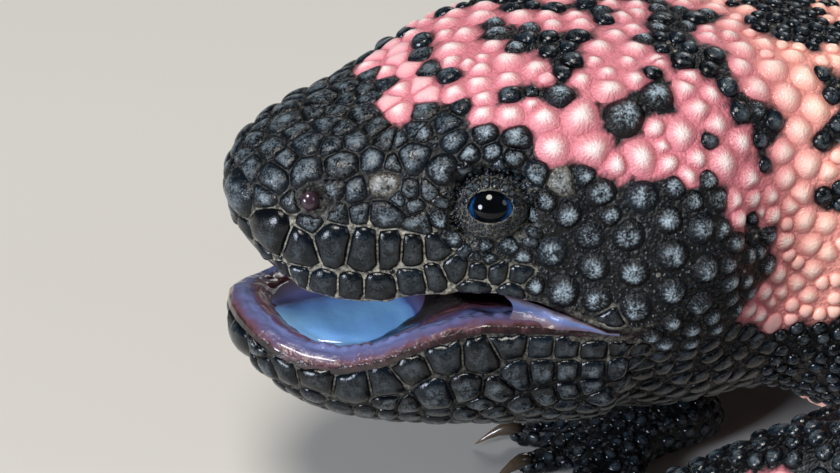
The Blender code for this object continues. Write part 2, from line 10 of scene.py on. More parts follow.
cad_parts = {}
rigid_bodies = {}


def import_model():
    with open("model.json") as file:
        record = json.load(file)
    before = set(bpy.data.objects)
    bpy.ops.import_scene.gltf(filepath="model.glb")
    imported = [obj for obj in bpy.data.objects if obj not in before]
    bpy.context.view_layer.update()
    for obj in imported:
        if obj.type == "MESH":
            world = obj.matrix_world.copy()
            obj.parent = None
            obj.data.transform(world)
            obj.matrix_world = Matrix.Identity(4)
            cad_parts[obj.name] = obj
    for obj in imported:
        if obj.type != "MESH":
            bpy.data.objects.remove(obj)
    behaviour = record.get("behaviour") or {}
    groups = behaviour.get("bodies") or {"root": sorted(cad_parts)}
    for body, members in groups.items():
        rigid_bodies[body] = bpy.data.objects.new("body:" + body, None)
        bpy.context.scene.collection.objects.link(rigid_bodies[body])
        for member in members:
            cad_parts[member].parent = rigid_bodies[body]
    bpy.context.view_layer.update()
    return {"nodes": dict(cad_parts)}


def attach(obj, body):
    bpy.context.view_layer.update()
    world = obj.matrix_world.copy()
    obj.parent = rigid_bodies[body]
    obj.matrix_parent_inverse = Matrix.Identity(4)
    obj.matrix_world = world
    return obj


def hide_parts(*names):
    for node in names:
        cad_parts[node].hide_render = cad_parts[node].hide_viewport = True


for startup in list(bpy.data.objects):
    bpy.data.objects.remove(startup)
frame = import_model()
dice = np.random.default_rng(7)
mm = 0.001
snoutX = -205.0  # where the snout tip lies in the frame, in mm

# How the photo looks at the head: lengths in mm, places in pixels of its 840 x 473 frame
photo = {
    "azimuth": -18.0,
    "elevation": 28.0,
    "pixelsPerMm": 8.2,
    "distance": 420.0,
    "snoutPixel": (224.0, 177.0),
    "snoutHeight": 51.0,
    "middle": (420.0, 236.5),
    "sensor": 36.0,
}


def photoAxes():
    turn, tilt = math.radians(photo["azimuth"]), math.radians(photo["elevation"])
    right = np.array((math.cos(turn), math.sin(turn), 0.0))
    back = np.array((math.sin(turn) * math.cos(tilt), -math.cos(turn) * math.cos(tilt), math.sin(tilt)))
    return right, np.cross(back, right), back


right, upward, back = photoAxes()
offCentre = (np.array(photo["snoutPixel"]) - photo["middle"]) / photo["pixelsPerMm"]
aim = np.array((snoutX, 0.0, photo["snoutHeight"])) - right * offCentre[0] + upward * offCentre[1]
lensPoint = aim + back * photo["distance"]


def rayThrough(column, row):
    across = (column - photo["middle"][0]) / photo["pixelsPerMm"]
    down = (row - photo["middle"][1]) / photo["pixelsPerMm"]
    way = -back * photo["distance"] + right * across - upward * down
    return Vector(lensPoint), Vector(way).normalized()


def addCamera():
    data = bpy.data.cameras.new("photo_camera")
    data.sensor_width = photo["sensor"]
    data.lens = photo["sensor"] * photo["distance"] * photo["pixelsPerMm"] / (2 * photo["middle"][0])
    data.clip_start, data.clip_end = 0.01, 20.0
    camera = bpy.data.objects.new("photo_camera", data)
    camera.location = Vector(lensPoint) * mm
    camera.rotation_mode = "QUATERNION"
    camera.rotation_quaternion = Vector(-back).to_track_quat("-Z", "Y")
    bpy.context.scene.collection.objects.link(camera)
    bpy.context.scene.camera = camera


addCamera()
print("camera placed")


# Small tools

def linear(text):
    parts = [int(text[k:k + 2], 16) / 255 for k in (1, 3, 5)]
    return tuple(c / 12.92 if c <= 0.04045 else ((c + 0.055) / 1.055) ** 2.4 for c in parts) + (1.0,)


def addNode(tree, kind, inputs=None, **settings):
    node = tree.nodes.new(kind)
    for name, value in settings.items():
        setattr(node, name, value)
    for name, value in (inputs or {}).items():
        socket = node.inputs[name]
        if isinstance(value, bpy.types.NodeSocket):
            tree.links.new(value, socket)
        elif isinstance(value, str):
            socket.default_value = linear(value)
        else:
            socket.default_value = value
    return node


def newMaterial(name):
    made = bpy.data.materials.new(name)
    made.use_nodes = True
    made.node_tree.nodes.clear()
    return made, made.node_tree


def addRamp(tree, value, stops):
    node = addNode(tree, "ShaderNodeValToRGB", {"Fac": value})
    for k, (at, colour) in enumerate(stops):
        stop = node.color_ramp.elements[k] if k < 2 else node.color_ramp.elements.new(at)
        stop.position, stop.color = at, linear(colour)
    return node.outputs[0]


def dress(mesh, name, material):
    mesh.update()
    mesh.shade_smooth()
    mesh.materials.append(material)
    made = bpy.data.objects.new(name, mesh)
    bpy.context.scene.collection.objects.link(made)
    return made


def meshObject(name, points, faces, material):
    mesh = bpy.data.meshes.new(name)
    mesh.from_pydata((np.asarray(points) * mm).tolist(), [], faces)
    return dress(mesh, name, material)


def shapeObject(name, shape, material, marks=None):
    # A bmesh in mm, with a value or colour for each vertex under each name in marks
    mesh = bpy.data.meshes.new(name)
    bmesh.ops.recalc_face_normals(shape, faces=shape.faces)
    shape.transform(Matrix.Scale(mm, 4))
    shape.to_mesh(mesh)
    shape.free()
    made = dress(mesh, name, material)
    for word, values in (marks or {}).items():
        setMarks(made, word, values)
    return made


def setMarks(made, name, values):
    values = np.asarray(values, np.float32)
    colour = values.ndim == 2
    layer = made.data.attributes.new(name, "FLOAT_COLOR" if colour else "FLOAT", "POINT")
    layer.data.foreach_set("color" if colour else "value", values.ravel())


def mount(piece, slot, *nodes):
    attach(piece, "root")
    if nodes:
        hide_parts(*nodes)


def table(rows, at):
    rows = np.asarray(rows, float)
    return np.array([np.interp(at, rows[:, 0], rows[:, k]) for k in range(1, rows.shape[1])])


def smoothStep(low, high, value):
    share = np.clip((value - low) / (high - low), 0.0, 1.0)
    return share * share * (3 - 2 * share)


def unit(rows):
    rows = np.asarray(rows, float)
    return rows / np.maximum(np.linalg.norm(rows, axis=-1, keepdims=True), 1e-9)


def treeOf(points):
    tree = KDTree(len(points))
    for k, point in enumerate(points):
        tree.insert(point, k)
    tree.balance()
    return tree


def gridFaces(rows, columns, closed=False):
    faces = []
    for i in range(rows - 1):
        for j in range(columns if closed else columns - 1):
            k = (j + 1) % columns
            faces.append((i * columns + j, i * columns + k, (i + 1) * columns + k, (i + 1) * columns + j))
    return faces


# Materials

def scaleMaterial():
    # Horny scales over bone: dark ones glossy with blue-grey tops that are partly powder and partly painted sheen,
    # pink ones waxy with cream tops
    made, tree = newMaterial("horny_scales")
    place = addNode(tree, "ShaderNodeTexCoord").outputs["Object"]
    marks = addNode(tree, "ShaderNodeAttribute", attribute_name="marks")
    form = addNode(tree, "ShaderNodeAttribute", attribute_name="form")
    mark = addNode(tree, "ShaderNodeSeparateColor", {"Color": marks.outputs["Color"]})
    shape = addNode(tree, "ShaderNodeSeparateColor", {"Color": form.outputs["Color"]})
    pink, warm, tone = mark.outputs[0], mark.outputs[1], mark.outputs[2]
    height, ridged, topped = shape.outputs[0], shape.outputs[1], shape.outputs[2]
    cloud = addNode(tree, "ShaderNodeTexNoise", {"Vector": place, "Scale": 700.0, "Detail": 4.0, "Roughness": 0.6})
    grit = addNode(tree, "ShaderNodeTexNoise", {"Vector": place, "Scale": 3600.0, "Detail": 3.0, "Roughness": 0.7})
    pits = addNode(tree, "ShaderNodeTexVoronoi", {"Vector": place, "Scale": 3000.0})  # pits 0.3 mm apart
    # Fine ridges that run out from the top of each scale
    cell = addNode(tree, "ShaderNodeUVMap", uv_map="cell")
    local = addNode(tree, "ShaderNodeSeparateXYZ", {"Vector": cell.outputs["UV"]})
    angle = addNode(tree, "ShaderNodeMath", {0: local.outputs[1], 1: local.outputs[0]}, operation="ARCTAN2")
    turns = addNode(tree, "ShaderNodeMath", {0: cloud.outputs["Fac"], 1: 14.0}, operation="MULTIPLY")
    twisted = addNode(tree, "ShaderNodeMath", {
        0: angle.outputs[0], 1: 13.0, 2: turns.outputs[0]}, operation="MULTIPLY_ADD")
    wobble = addNode(tree, "ShaderNodeMath", {
        0: grit.outputs["Fac"], 1: 8.0, 2: twisted.outputs[0]}, operation="MULTIPLY_ADD")
    waves = addNode(tree, "ShaderNodeMath", {0: wobble.outputs[0]}, operation="SINE")
    reach = addNode(tree, "ShaderNodeVectorMath", {0: cell.outputs["UV"]}, operation="LENGTH")
    ring = addNode(tree, "ShaderNodeMapRange", {"Value": reach.outputs["Value"], "From Min": 0.1, "From Max": 0.45})
    rayed = addNode(tree, "ShaderNodeMath", {0: waves.outputs[0], 1: ring.outputs[0]}, operation="MULTIPLY")
    rays = addNode(tree, "ShaderNodeMath", {0: rayed.outputs[0], 1: ridged}, operation="MULTIPLY")
    reached = addNode(tree, "ShaderNodeMath", {0: rays.outputs[0], 1: 0.1, 2: height}, operation="MULTIPLY_ADD")
    # Dark scales, their pale tops partly powder and partly painted sheen
    deep = addNode(tree, "ShaderNodeMixRGB", {"Fac": tone, "Color1": "#040609", "Color2": "#0c151e"})
    powder_and_sheen = addNode(tree, "ShaderNodeMixRGB", {
        "Fac": cloud.outputs["Fac"], "Color1": "#243a49", "Color2": "#c4d5e0"})
    # Pale on each scale's top by its height: partly powder, partly painted sheen
    crown = addNode(tree, "ShaderNodeMapRange", {"Value": reached.outputs[0], "From Min": 0.5, "From Max": 0.95})
    wear_and_glint = addNode(tree, "ShaderNodeMath", {0: grit.outputs["Fac"], 1: cloud.outputs["Fac"]}, operation="ADD")
    speck = addNode(tree, "ShaderNodeMapRange", {"Value": wear_and_glint.outputs[0], "From Min": 0.88, "From Max": 1.16})
    dust_and_sheen_spots = addNode(tree, "ShaderNodeMath", {0: crown.outputs[0], 1: speck.outputs[0]}, operation="MULTIPLY")
    dust_and_sheen = addNode(tree, "ShaderNodeMath", {0: dust_and_sheen_spots.outputs[0], 1: topped}, operation="MULTIPLY")
    dark = addNode(tree, "ShaderNodeMixRGB", {
        "Fac": dust_and_sheen.outputs[0], "Color1": deep.outputs[0], "Color2": powder_and_sheen.outputs[0]})
    # Pink scales, rosy on the head and salmon on the body
    flank = addNode(tree, "ShaderNodeMapRange", {"Value": height, "From Min": 0.0, "From Max": 0.6})
    rose = addNode(tree, "ShaderNodeMixRGB", {"Fac": flank.outputs[0], "Color1": "#c87681", "Color2": "#dc999f"})
    salmon = addNode(tree, "ShaderNodeMixRGB", {"Fac": flank.outputs[0], "Color1": "#e2988c", "Color2": "#f6bfae"})
    cream = addNode(tree, "ShaderNodeMapRange", {"Value": reached.outputs[0], "From Min": 0.52, "From Max": 1.02})
    creamy = addNode(tree, "ShaderNodeMath", {0: cream.outputs[0], 1: topped}, operation="MULTIPLY")
    roseTop = addNode(tree, "ShaderNodeMixRGB", {
        "Fac": creamy.outputs[0], "Color1": rose.outputs[0], "Color2": "#ecdcd9"})
    salmonTop = addNode(tree, "ShaderNodeMixRGB", {
        "Fac": creamy.outputs[0], "Color1": salmon.outputs[0], "Color2": "#fcdcc8"})
    fleshy = addNode(tree, "ShaderNodeMixRGB", {
        "Fac": warm, "Color1": roseTop.outputs[0], "Color2": salmonTop.outputs[0]})
    both = addNode(tree, "ShaderNodeMixRGB", {"Fac": pink, "Color1": dark.outputs[0], "Color2": fleshy.outputs[0]})
    horn = addNode(tree, "ShaderNodeMixRGB", {"Fac": speck.outputs[0], "Color1": "#3d372f", "Color2": "#a59d90"})
    colour = addNode(tree, "ShaderNodeMixRGB", {
        "Fac": marks.outputs["Alpha"], "Color1": both.outputs[0], "Color2": horn.outputs[0]})
    rough = addNode(tree, "ShaderNodeMapRange", {"Value": dust_and_sheen.outputs[0], "To Min": 0.15, "To Max": 0.36})
    # Relief: pits on the tops, ridges down the sides
    dent = addNode(tree, "ShaderNodeMath", {0: pits.outputs["Distance"], 1: topped}, operation="MULTIPLY")
    relief = addNode(tree, "ShaderNodeMath", {
        0: rays.outputs[0], 1: 0.35, 2: dent.outputs[0]}, operation="MULTIPLY_ADD")
    gritty = addNode(tree, "ShaderNodeMath", {
        0: grit.outputs["Fac"], 1: 0.3, 2: relief.outputs[0]}, operation="MULTIPLY_ADD")
    bump = addNode(tree, "ShaderNodeBump", {"Height": gritty.outputs[0], "Strength": 0.9, "Distance": 0.0001})
    shader = addNode(tree, "ShaderNodeBsdfPrincipled", {
        "Base Color": colour.outputs[0], "Roughness": rough.outputs[0], "Normal": bump.outputs[0],
        "IOR": 1.5, "Specular IOR Level": 0.3})
    addNode(tree, "ShaderNodeOutputMaterial", {"Surface": shader.outputs[0]})
    return made


def skinMaterial():
    # Granular skin between the scales: near black with tan specks that also serve as painted glints, rosy under the
    # pink ones, wet in the mouth and nostrils, where its near-black lining is partly painted shade
    made, tree = newMaterial("granular_skin")
    place = addNode(tree, "ShaderNodeTexCoord").outputs["Object"]
    marks = addNode(tree, "ShaderNodeAttribute", attribute_name="marks")
    mark = addNode(tree, "ShaderNodeSeparateColor", {"Color": marks.outputs["Color"]})
    grains = addNode(tree, "ShaderNodeTexVoronoi", {"Vector": place, "Scale": 1900.0})  # grains 0.5 mm apart
    mottle_noise = addNode(tree, "ShaderNodeTexNoise", {"Vector": place, "Scale": 1500.0, "Detail": 4.0, "Roughness": 0.7})
    # Pale specks: partly the skin's own tan grains, partly painted glints
    speck = addNode(tree, "ShaderNodeMapRange", {
        "Value": mottle_noise.outputs["Fac"], "From Min": 0.55, "From Max": 0.68, "To Max": 0.75})
    dark = addNode(tree, "ShaderNodeMixRGB", {"Fac": speck.outputs[0], "Color1": "#090a0c", "Color2": "#5f6163"})
    seam = addNode(tree, "ShaderNodeMapRange", {"Value": mottle_noise.outputs["Fac"], "From Min": 0.38, "From Max": 0.6})
    pale = addNode(tree, "ShaderNodeMixRGB", {"Fac": seam.outputs[0], "Color1": "#35322d", "Color2": "#a8a497"})
    seamed = addNode(tree, "ShaderNodeMixRGB", {
        "Fac": mark.outputs[2], "Color1": dark.outputs[0], "Color2": pale.outputs[0]})
    flesh = addNode(tree, "ShaderNodeMixRGB", {"Fac": mark.outputs[1], "Color1": "#c87681", "Color2": "#e2988c"})
    outside = addNode(tree, "ShaderNodeMixRGB", {
        "Fac": mark.outputs[0], "Color1": seamed.outputs[0], "Color2": flesh.outputs[0]})
    # Lining of the mouth and nostrils: dark wet flesh, made near black as painted shade in these hollows
    lining = addNode(tree, "ShaderNodeMixRGB", {"Fac": mottle_noise.outputs["Fac"], "Color1": "#0c070b", "Color2": "#2c1c27"})
    colour = addNode(tree, "ShaderNodeMixRGB", {
        "Fac": marks.outputs["Alpha"], "Color1": outside.outputs[0], "Color2": lining.outputs[0]})
    rough = addNode(tree, "ShaderNodeMapRange", {"Value": marks.outputs["Alpha"], "To Min": 0.34, "To Max": 0.2})
    relief = addNode(tree, "ShaderNodeMath", {
        0: grains.outputs["Distance"], 1: -1.0, 2: mottle_noise.outputs["Fac"]}, operation="MULTIPLY_ADD")
    bump = addNode(tree, "ShaderNodeBump", {"Height": relief.outputs[0], "Strength": 1.0, "Distance": 0.00018})
    shader = addNode(tree, "ShaderNodeBsdfPrincipled", {
        "Base Color": colour.outputs[0], "Roughness": rough.outputs[0], "Normal": bump.outputs[0], "IOR": 1.5,
        "Specular IOR Level": 0.24})
    addNode(tree, "ShaderNodeOutputMaterial", {"Surface": shader.outputs[0]})
    return made


def wetMaterial(name, stops, mottling, grain, relief, roughness=0.22, film=0.7):
    # Wet lining of the mouth, coloured from its edge inwards by its own attribute
    made, tree = newMaterial(name)
    place = addNode(tree, "ShaderNodeTexCoord").outputs["Object"]
    across = addNode(tree, "ShaderNodeAttribute", attribute_name="across")
    cloud = addNode(tree, "ShaderNodeTexNoise", {"Vector": place, "Scale": grain, "Detail": 4.0, "Roughness": 0.6})
    centred = addNode(tree, "ShaderNodeMath", {0: cloud.outputs["Fac"], 1: 0.5}, operation="SUBTRACT")
    moved = addNode(tree, "ShaderNodeMath", {
        0: centred.outputs[0], 1: mottling, 2: across.outputs["Fac"]}, operation="MULTIPLY_ADD")
    colour = addRamp(tree, moved.outputs[0], stops)
    bump = addNode(tree, "ShaderNodeBump", {"Height": cloud.outputs["Fac"], "Strength": relief, "Distance": 0.0003})
    shader = addNode(tree, "ShaderNodeBsdfPrincipled", {
        "Base Color": colour, "Roughness": roughness, "Normal": bump.outputs[0], "IOR": 1.38,
        "Coat Weight": film, "Coat Roughness": 0.05})
    addNode(tree, "ShaderNodeOutputMaterial", {"Surface": shader.outputs[0]})
    return made


scalesLook = scaleMaterial()
skinLook = skinMaterial()
print("materials ready")


# The skin: the solids' flesh made one surface, smoothed and drawn in by the depth of the scales
skinShape = {
    "voxel": 1.15,
    "swell": 0.25,
    "rounds": {"torso": 36, "tail": 26, "neck": 26, "head": 9, "lower": 5, "upper": 16, "forearm": 12,
               "thigh": 16, "shin": 12, "hand": 3, "foot": 3},
    "inset": {"torso": 0.75, "tail": 0.7, "neck": 0.6, "head": 0.55, "lower": 0.45, "upper": 0.6,
              "forearm": 0.55, "thigh": 0.6, "shin": 0.55, "hand": 0.45, "foot": 0.45},
    "floor": 0.35,
    # Bands over and under the lips that are smoothed less, and how far up the lips' drop fades out
    "lipBand": 2.2, "rimBand": 2.0, "bandRounds": 3, "lipUnder": -3.0, "lipFade": (0.5, 5.0),
    "rimStrip": 3.2, "rimFade": (-3.2, -0.5), "rimEnd": 30.0,
    "socket": {"from": -1.5, "to": 6.0, "floor": 0.6},
    "clawSocket": {"from": 0.9, "to": 9.0, "beside": 2.4, "under": 6.0},
    "nostril": {"pixel": (317, 200), "wide": 1.85, "deep": 1.7},
    "ear": {"place": (61.6, 24.0, 45.5), "wide": 1.1, "tall": 2.5, "deep": 1.2},
}
upperLip = ((-4, 45.6), (2.3, 43.6), (7, 41.2), (10, 40.4), (15, 40.1), (20, 41), (24, 41.5), (28, 41.3),
            (32.5, 39.7), (36, 38.6), (41, 35.9), (44.3, 35))
jawRows = ((0.8, 3.8, 33.4, 29), (1.6, 6.4, 33, 26.8), (3.4, 9.2, 32, 24.2), (6.4, 12, 31, 21.6),
           (10, 14.2, 30.8, 19.8), (15, 16.6, 32, 18.2), (20, 18.4, 34, 17), (27, 20.8, 36, 16),
           (33, 22.4, 35.8, 15.6), (39, 23.8, 35.2, 15.4), (44, 24.8, 34.4, 15.4))
headHalf = ((0, 1.3), (0.5, 3.3), (1.6, 5.7), (4, 8.8), (9, 12.8), (14, 15), (20, 16.8), (28, 19.4), (36, 22),
            (46, 24))
mouthEnd, lipEnd = 46.0, 44.3  # how far back the mouth and the drawn lip reach
# How far the lips hang past the solids' edges
lipDrop = ((-4, 1.2), (2.6, 1.6), (6.5, 2.2), (10, 1.9), (14.4, 1.5), (20, 1.7), (26, 1.6), (32, 1.3), (36, 1.1),
           (41, 0.7), (44.3, 0.0))
rimDrop = ((0.8, 1.6), (4, 1.3), (10, 1.0), (15, 0.6), (20, 0.1), (30, 0.0))
fleshNodes = sorted(n for n in frame["nodes"] if n not in ("tongue", "eye_left", "eye_right"))
headIndex, jawIndex, neckIndex = (fleshNodes.index(n) for n in ("head", "lower_jaw", "neck"))
firstWord = np.array([name.split("_")[0] for name in fleshNodes])


def joinedFlesh():
    joined = bmesh.new()
    for name in fleshNodes:
        piece = bmesh.new()
        piece.from_mesh(frame["nodes"][name].data)
        bmesh.ops.remove_doubles(piece, verts=piece.verts, dist=1e-6)
        piece.normal_update()
        for vert in piece.verts:
            vert.co += vert.normal * skinShape["swell"] * mm
        carrier = bpy.data.meshes.new("carrier")
        piece.to_mesh(carrier)
        joined.from_mesh(carrier)
        bpy.data.meshes.remove(carrier)
        piece.free()
    mesh = bpy.data.meshes.new("flesh")
    joined.to_mesh(mesh)
    joined.free()
    made = bpy.data.objects.new("flesh", mesh)
    bpy.context.scene.collection.objects.link(made)
    remesh = made.modifiers.new("one surface", "REMESH")
    remesh.mode, remesh.voxel_size = "VOXEL", skinShape["voxel"] * mm
    found = bpy.data.meshes.new_from_object(made.evaluated_get(bpy.context.evaluated_depsgraph_get()))
    bpy.data.objects.remove(made)
    points = np.empty(len(found.vertices) * 3)
    found.vertices.foreach_get("co", points)
    faces = np.empty(len(found.loops), int)
    found.loops.foreach_get("vertex_index", faces)
    edges = np.empty(len(found.edges) * 2, int)
    found.edges.foreach_get("vertices", edges)
    return points.reshape(-1, 3) / mm, faces.reshape(-1, 4), edges.reshape(-1, 2)


def nearestNodes(points):
    names, spots = [], []
    for k, name in enumerate(fleshNodes):
        for vert in frame["nodes"][name].data.vertices:
            names.append(k)
            spots.append(vert.co / mm)
    tree = treeOf(spots)
    return np.array([names[tree.find(point)[1]] for point in points])


def lipAt(x):
    return table(upperLip, x)[0] - table(lipDrop, x)[0]


def pointNormals(points, faces):
    crossed = np.cross(points[faces[:, 2]] - points[faces[:, 0]], points[faces[:, 3]] - points[faces[:, 1]])
    total = np.zeros_like(points)
    for axis in range(3):
        for corner in range(4):
            total[:, axis] += np.bincount(faces[:, corner], crossed[:, axis], len(points))
    return unit(total)


def smoothed(points, edges, rounds):
    count = np.bincount(edges.ravel(), minlength=len(points))
    for k in range(int(rounds.max())):
        total = np.zeros_like(points)
        for axis in range(3):
            total[:, axis] = (np.bincount(edges[:, 0], points[edges[:, 1], axis], len(points))
                              + np.bincount(edges[:, 1], points[edges[:, 0], axis], len(points)))
        mean = total / count[:, None]
        points = np.where((rounds > k)[:, None], points + 0.5 * (mean - points), points)
    return points


def valueFor(nodes, values):
    return np.array([values[word] for word in firstWord])[nodes]


eyeShape = {
    "place": (28.6, 17.0, 50.8), "turn": -22.0, "rise": 26.0, "ball": 3.5, "iris": 0.74, "pupil": 0.56,
    "opening": (2.75, 1.95), "lidBall": 4.1, "lidEnd": 7.6, "recess": 5.0,
    "fold": (5.0, 4.1), "foldDepth": 0.45, "foldWidth": 0.07,
}


def eyeFrame(side):
    heading = math.radians(90.0 * side - side * eyeShape["turn"])
    turned = Matrix.Rotation(heading, 3, "Z") @ Matrix.Rotation(-math.radians(eyeShape["rise"]), 3, "Y")
    out, high = np.array(turned @ Vector((1, 0, 0))), np.array(turned @ Vector((0, 0, 1)))
    x, y, z = eyeShape["place"]
    return np.array((snoutX + x, side * y, z)), out, np.cross(out, high) * -side, high


# The hands and feet as the solids have them: place, heading and size, then each digit's splay and reach
handShape = {
    "hands": {"hand_left": ((44.0, -28.5), 4.0, 1.0), "hand_right": ((62.0, 5.0), -14.0, 1.0),
              "foot_left": ((294.0, -70.0), 62.0, 1.14), "foot_right": ((337.0, 60.0), 50.0, 1.14)},
    "digits": ((-62.0, 8.5), (-30.0, 11.5), (-2.0, 13.0), (26.0, 12.0), (58.0, 9.0)),
    "palm": 13.0, "knuckles": 0.62, "width": 7.6, "rootSpread": 0.4, "tipReach": 1.1,
}


def handFrames():
    found = []
    for name, ((x, y), heading, size) in handShape["hands"].items():
        side = -1 if name.endswith("left") else 1
        turn = math.radians(heading)
        ahead = np.array((-math.cos(turn), side * math.sin(turn), 0.0))
        across = np.array((-ahead[1], ahead[0], 0.0)) * side
        root = np.array((snoutX + x, y, 0.0)) + ahead * handShape["palm"] * size * handShape["knuckles"]
        for splay, reach in handShape["digits"]:
            angle = math.radians(splay)
            way = ahead * math.cos(angle) + across * math.sin(angle)
            begin = root + across * math.sin(angle) * handShape["width"] * size * handShape["rootSpread"]
            found.append((name, begin + way * reach * size * handShape["tipReach"], way, size))
    return found


def pressIn(points, normals, centre, reach, deep):
    # A rounded pit in the skin round one centre
    near = np.linalg.norm((points - centre) / reach, axis=1)
    inward = unit(normals[np.argsort(near)[:12]].sum(0))
    return points - np.outer(deep * (1 - smoothStep(0.35, 1.15, near)), inward)


def buildSkin():
    points, faces, edges = joinedFlesh()
    nodes = nearestNodes(points)
    rounds = valueFor(nodes, skinShape["rounds"])
    x = points[:, 0] - snoutX
    lip, rim = table(upperLip, x)[0], table(jawRows, x)[1]
    lipGap, rimGap = np.abs(points[:, 2] - lip), np.abs(points[:, 2] - rim)
    nearLip = (lipGap < skinShape["lipBand"]) | (rimGap < skinShape["rimBand"])
    rounds = np.where(nearLip & (x < mouthEnd), np.minimum(rounds, skinShape["bandRounds"]), rounds)
    points = smoothed(points, edges, rounds)
    above = points[:, 2] - lip
    lipped = (nodes == headIndex) & (x < lipEnd) & (above > skinShape["lipUnder"])
    points[:, 2] -= table(lipDrop, x)[0] * lipped * (1 - smoothStep(*skinShape["lipFade"], above))
    half = table(jawRows, x)[0]
    outer = (np.abs(points[:, 1]) > half - skinShape["rimStrip"]) | (x < 4)
    byEdge = (nodes == jawIndex) & outer & (x < skinShape["rimEnd"])
    points[:, 2] -= table(rimDrop, x)[0] * byEdge * smoothStep(*skinShape["rimFade"], points[:, 2] - rim)
    normals = pointNormals(points, faces)
    points = points - normals * valueFor(nodes, skinShape["inset"])[:, None]
    points[:, 2] = np.maximum(points[:, 2], skinShape["floor"])
    socket, claw = skinShape["socket"], skinShape["clawSocket"]
    for side in (-1, 1):
        centre, out, ahead, high = eyeFrame(side)
        away = points - centre
        depth = away @ out
        beside = np.linalg.norm(away - np.outer(depth, out), axis=1)
        inside = (beside < eyeShape["recess"]) & (depth > socket["from"]) & (depth < socket["to"])
        points[inside] -= np.outer(depth[inside] + socket["floor"], out)
    # The claws' share of the surface is drawn back into the digits, under the claws built later
    for name, tip, way, size in handFrames():
        away = points - tip
        along = away @ way
        beside = np.linalg.norm((away - np.outer(along, way))[:, :2], axis=1)
        begin = claw["from"] * size
        inside = (along > begin) & (along < claw["to"]) & (beside < claw["beside"]) & (points[:, 2] < claw["under"])
        points[inside] -= np.outer(along[inside] - begin, way)
    return points, faces, nodes


def lidPatch(side, tree):
    # The lids: rings round the eye's opening, over the ball and out into the skin, with a fold between
    centre, out, ahead, high = eyeFrame(side)
    turns = np.linspace(0, 2 * math.pi, 73)[:-1]
    shares = np.array((0.0, 0.0, 0.03, 0.08, 0.15, 0.22, 0.3, 0.38, 0.46, 0.55, 0.64, 0.74, 0.85, 1.0))
    rows = []
    for k, share in enumerate(shares):
        wide, tall = (eyeShape["opening"][i] + share * (eyeShape["lidEnd"] - eyeShape["opening"][i]) for i in (0, 1))
        ring = []
        for turn in turns:
            a, b = wide * math.cos(turn), tall * math.sin(turn)
            far = math.hypot(a, b)
            ball = eyeShape["ball"] + 0.03 if k == 0 else eyeShape["lidBall"]
            depth = math.sqrt(max(ball**2 - min(far, 3.0) ** 2, 0.2)) - 1.0 * max(0.0, far - 3.0)
            start = centre + ahead * a + high * b + out * 12
            met = tree.ray_cast(Vector(start), Vector(-out), 20)[0]
            skin = (np.array(met) - centre) @ out + 0.12 if met else depth
            blend = float(smoothStep(3.2, 6.0, far))
            fold = (math.hypot(a / eyeShape["fold"][0], b / eyeShape["fold"][1]) - 1) / eyeShape["foldWidth"]
            depth = depth * (1 - blend) + skin * blend - eyeShape["foldDepth"] * math.exp(-fold ** 2)
            ring.append(centre + ahead * a + high * b + out * (depth - (0.35 if share == 1 else 0.0)))
        rows.append(ring)
    faces = gridFaces(len(rows), len(turns), closed=True)
    points = np.array(rows).reshape(-1, 3)
    a, b, c, d = (points[i] for i in faces[len(faces) // 2])
    if np.cross(c - a, d - b) @ out < 0:
        faces = [face[::-1] for face in faces]
    return points, faces


skinPoints, skinFaces, skinNodes = buildSkin()
skinTree = BVHTree.FromPolygons(skinPoints.tolist(), skinFaces.tolist())
nostrilLeft = np.array(skinTree.ray_cast(*rayThrough(*skinShape["nostril"]["pixel"]))[0])
nostrils = [nostrilLeft, nostrilLeft * (1, -1, 1)]
ears = [np.array(skinShape["ear"]["place"]) * (1, side, 1) + (snoutX, 0, 0) for side in (-1, 1)]
ears = [np.array(skinTree.find_nearest(Vector(ear))[0]) for ear in ears]
for spot in nostrils:
    wide, deep = skinShape["nostril"]["wide"], skinShape["nostril"]["deep"]
    skinPoints = pressIn(skinPoints, pointNormals(skinPoints, skinFaces), spot, wide, deep)
for spot in ears:
    skinPoints = pressIn(skinPoints, pointNormals(skinPoints, skinFaces), spot,
                         (skinShape["ear"]["wide"], 3.0, skinShape["ear"]["tall"]), skinShape["ear"]["deep"])
skinTree = BVHTree.FromPolygons(skinPoints.tolist(), skinFaces.tolist())
for side in (-1, 1):
    lidPoints, lidFaces = lidPatch(side, skinTree)
    skinFaces = np.concatenate([skinFaces, np.array(lidFaces) + len(skinPoints)])
    skinPoints = np.concatenate([skinPoints, lidPoints])
    skinNodes = np.concatenate([skinNodes, np.full(len(lidPoints), headIndex)])
skinNormals = pointNormals(skinPoints, skinFaces)
skinTree = BVHTree.FromPolygons(skinPoints.tolist(), skinFaces.tolist())
print("skin built,", len(skinFaces), "faces")


def settle(points):
    # Nearest places on the skin, with the skin's smooth normal and node there
    spots, normals, nodes = np.empty((len(points), 3)), np.empty((len(points), 3)), np.empty(len(points), int)
    for k, point in enumerate(points):
        spot, flat, face, gap = skinTree.find_nearest(Vector(point))
        corners = skinFaces[face]
        weight = 1.0 / (((skinPoints[corners] - spot) ** 2).sum(1) ** 0.5 + 0.05)
        spots[k] = spot
        normals[k] = weight @ skinNormals[corners]
        nodes[k] = skinNodes[corners[0]]
    return spots, unit(normals), nodes


# Where the skin lies in the open mouth, in mm from the lips' edges
gapeShape = {
    "margin": 0.3, "rimMargin": 0.1, "slit": 0.6, "slitFrom": 30.0, "slitTo": 36.0,
    "closedFrom": 38.0, "cornerHalf": 18.0, "roofHeight": 4.0, "floorDepth": 5.0, "rearFrom": 40.0,
}


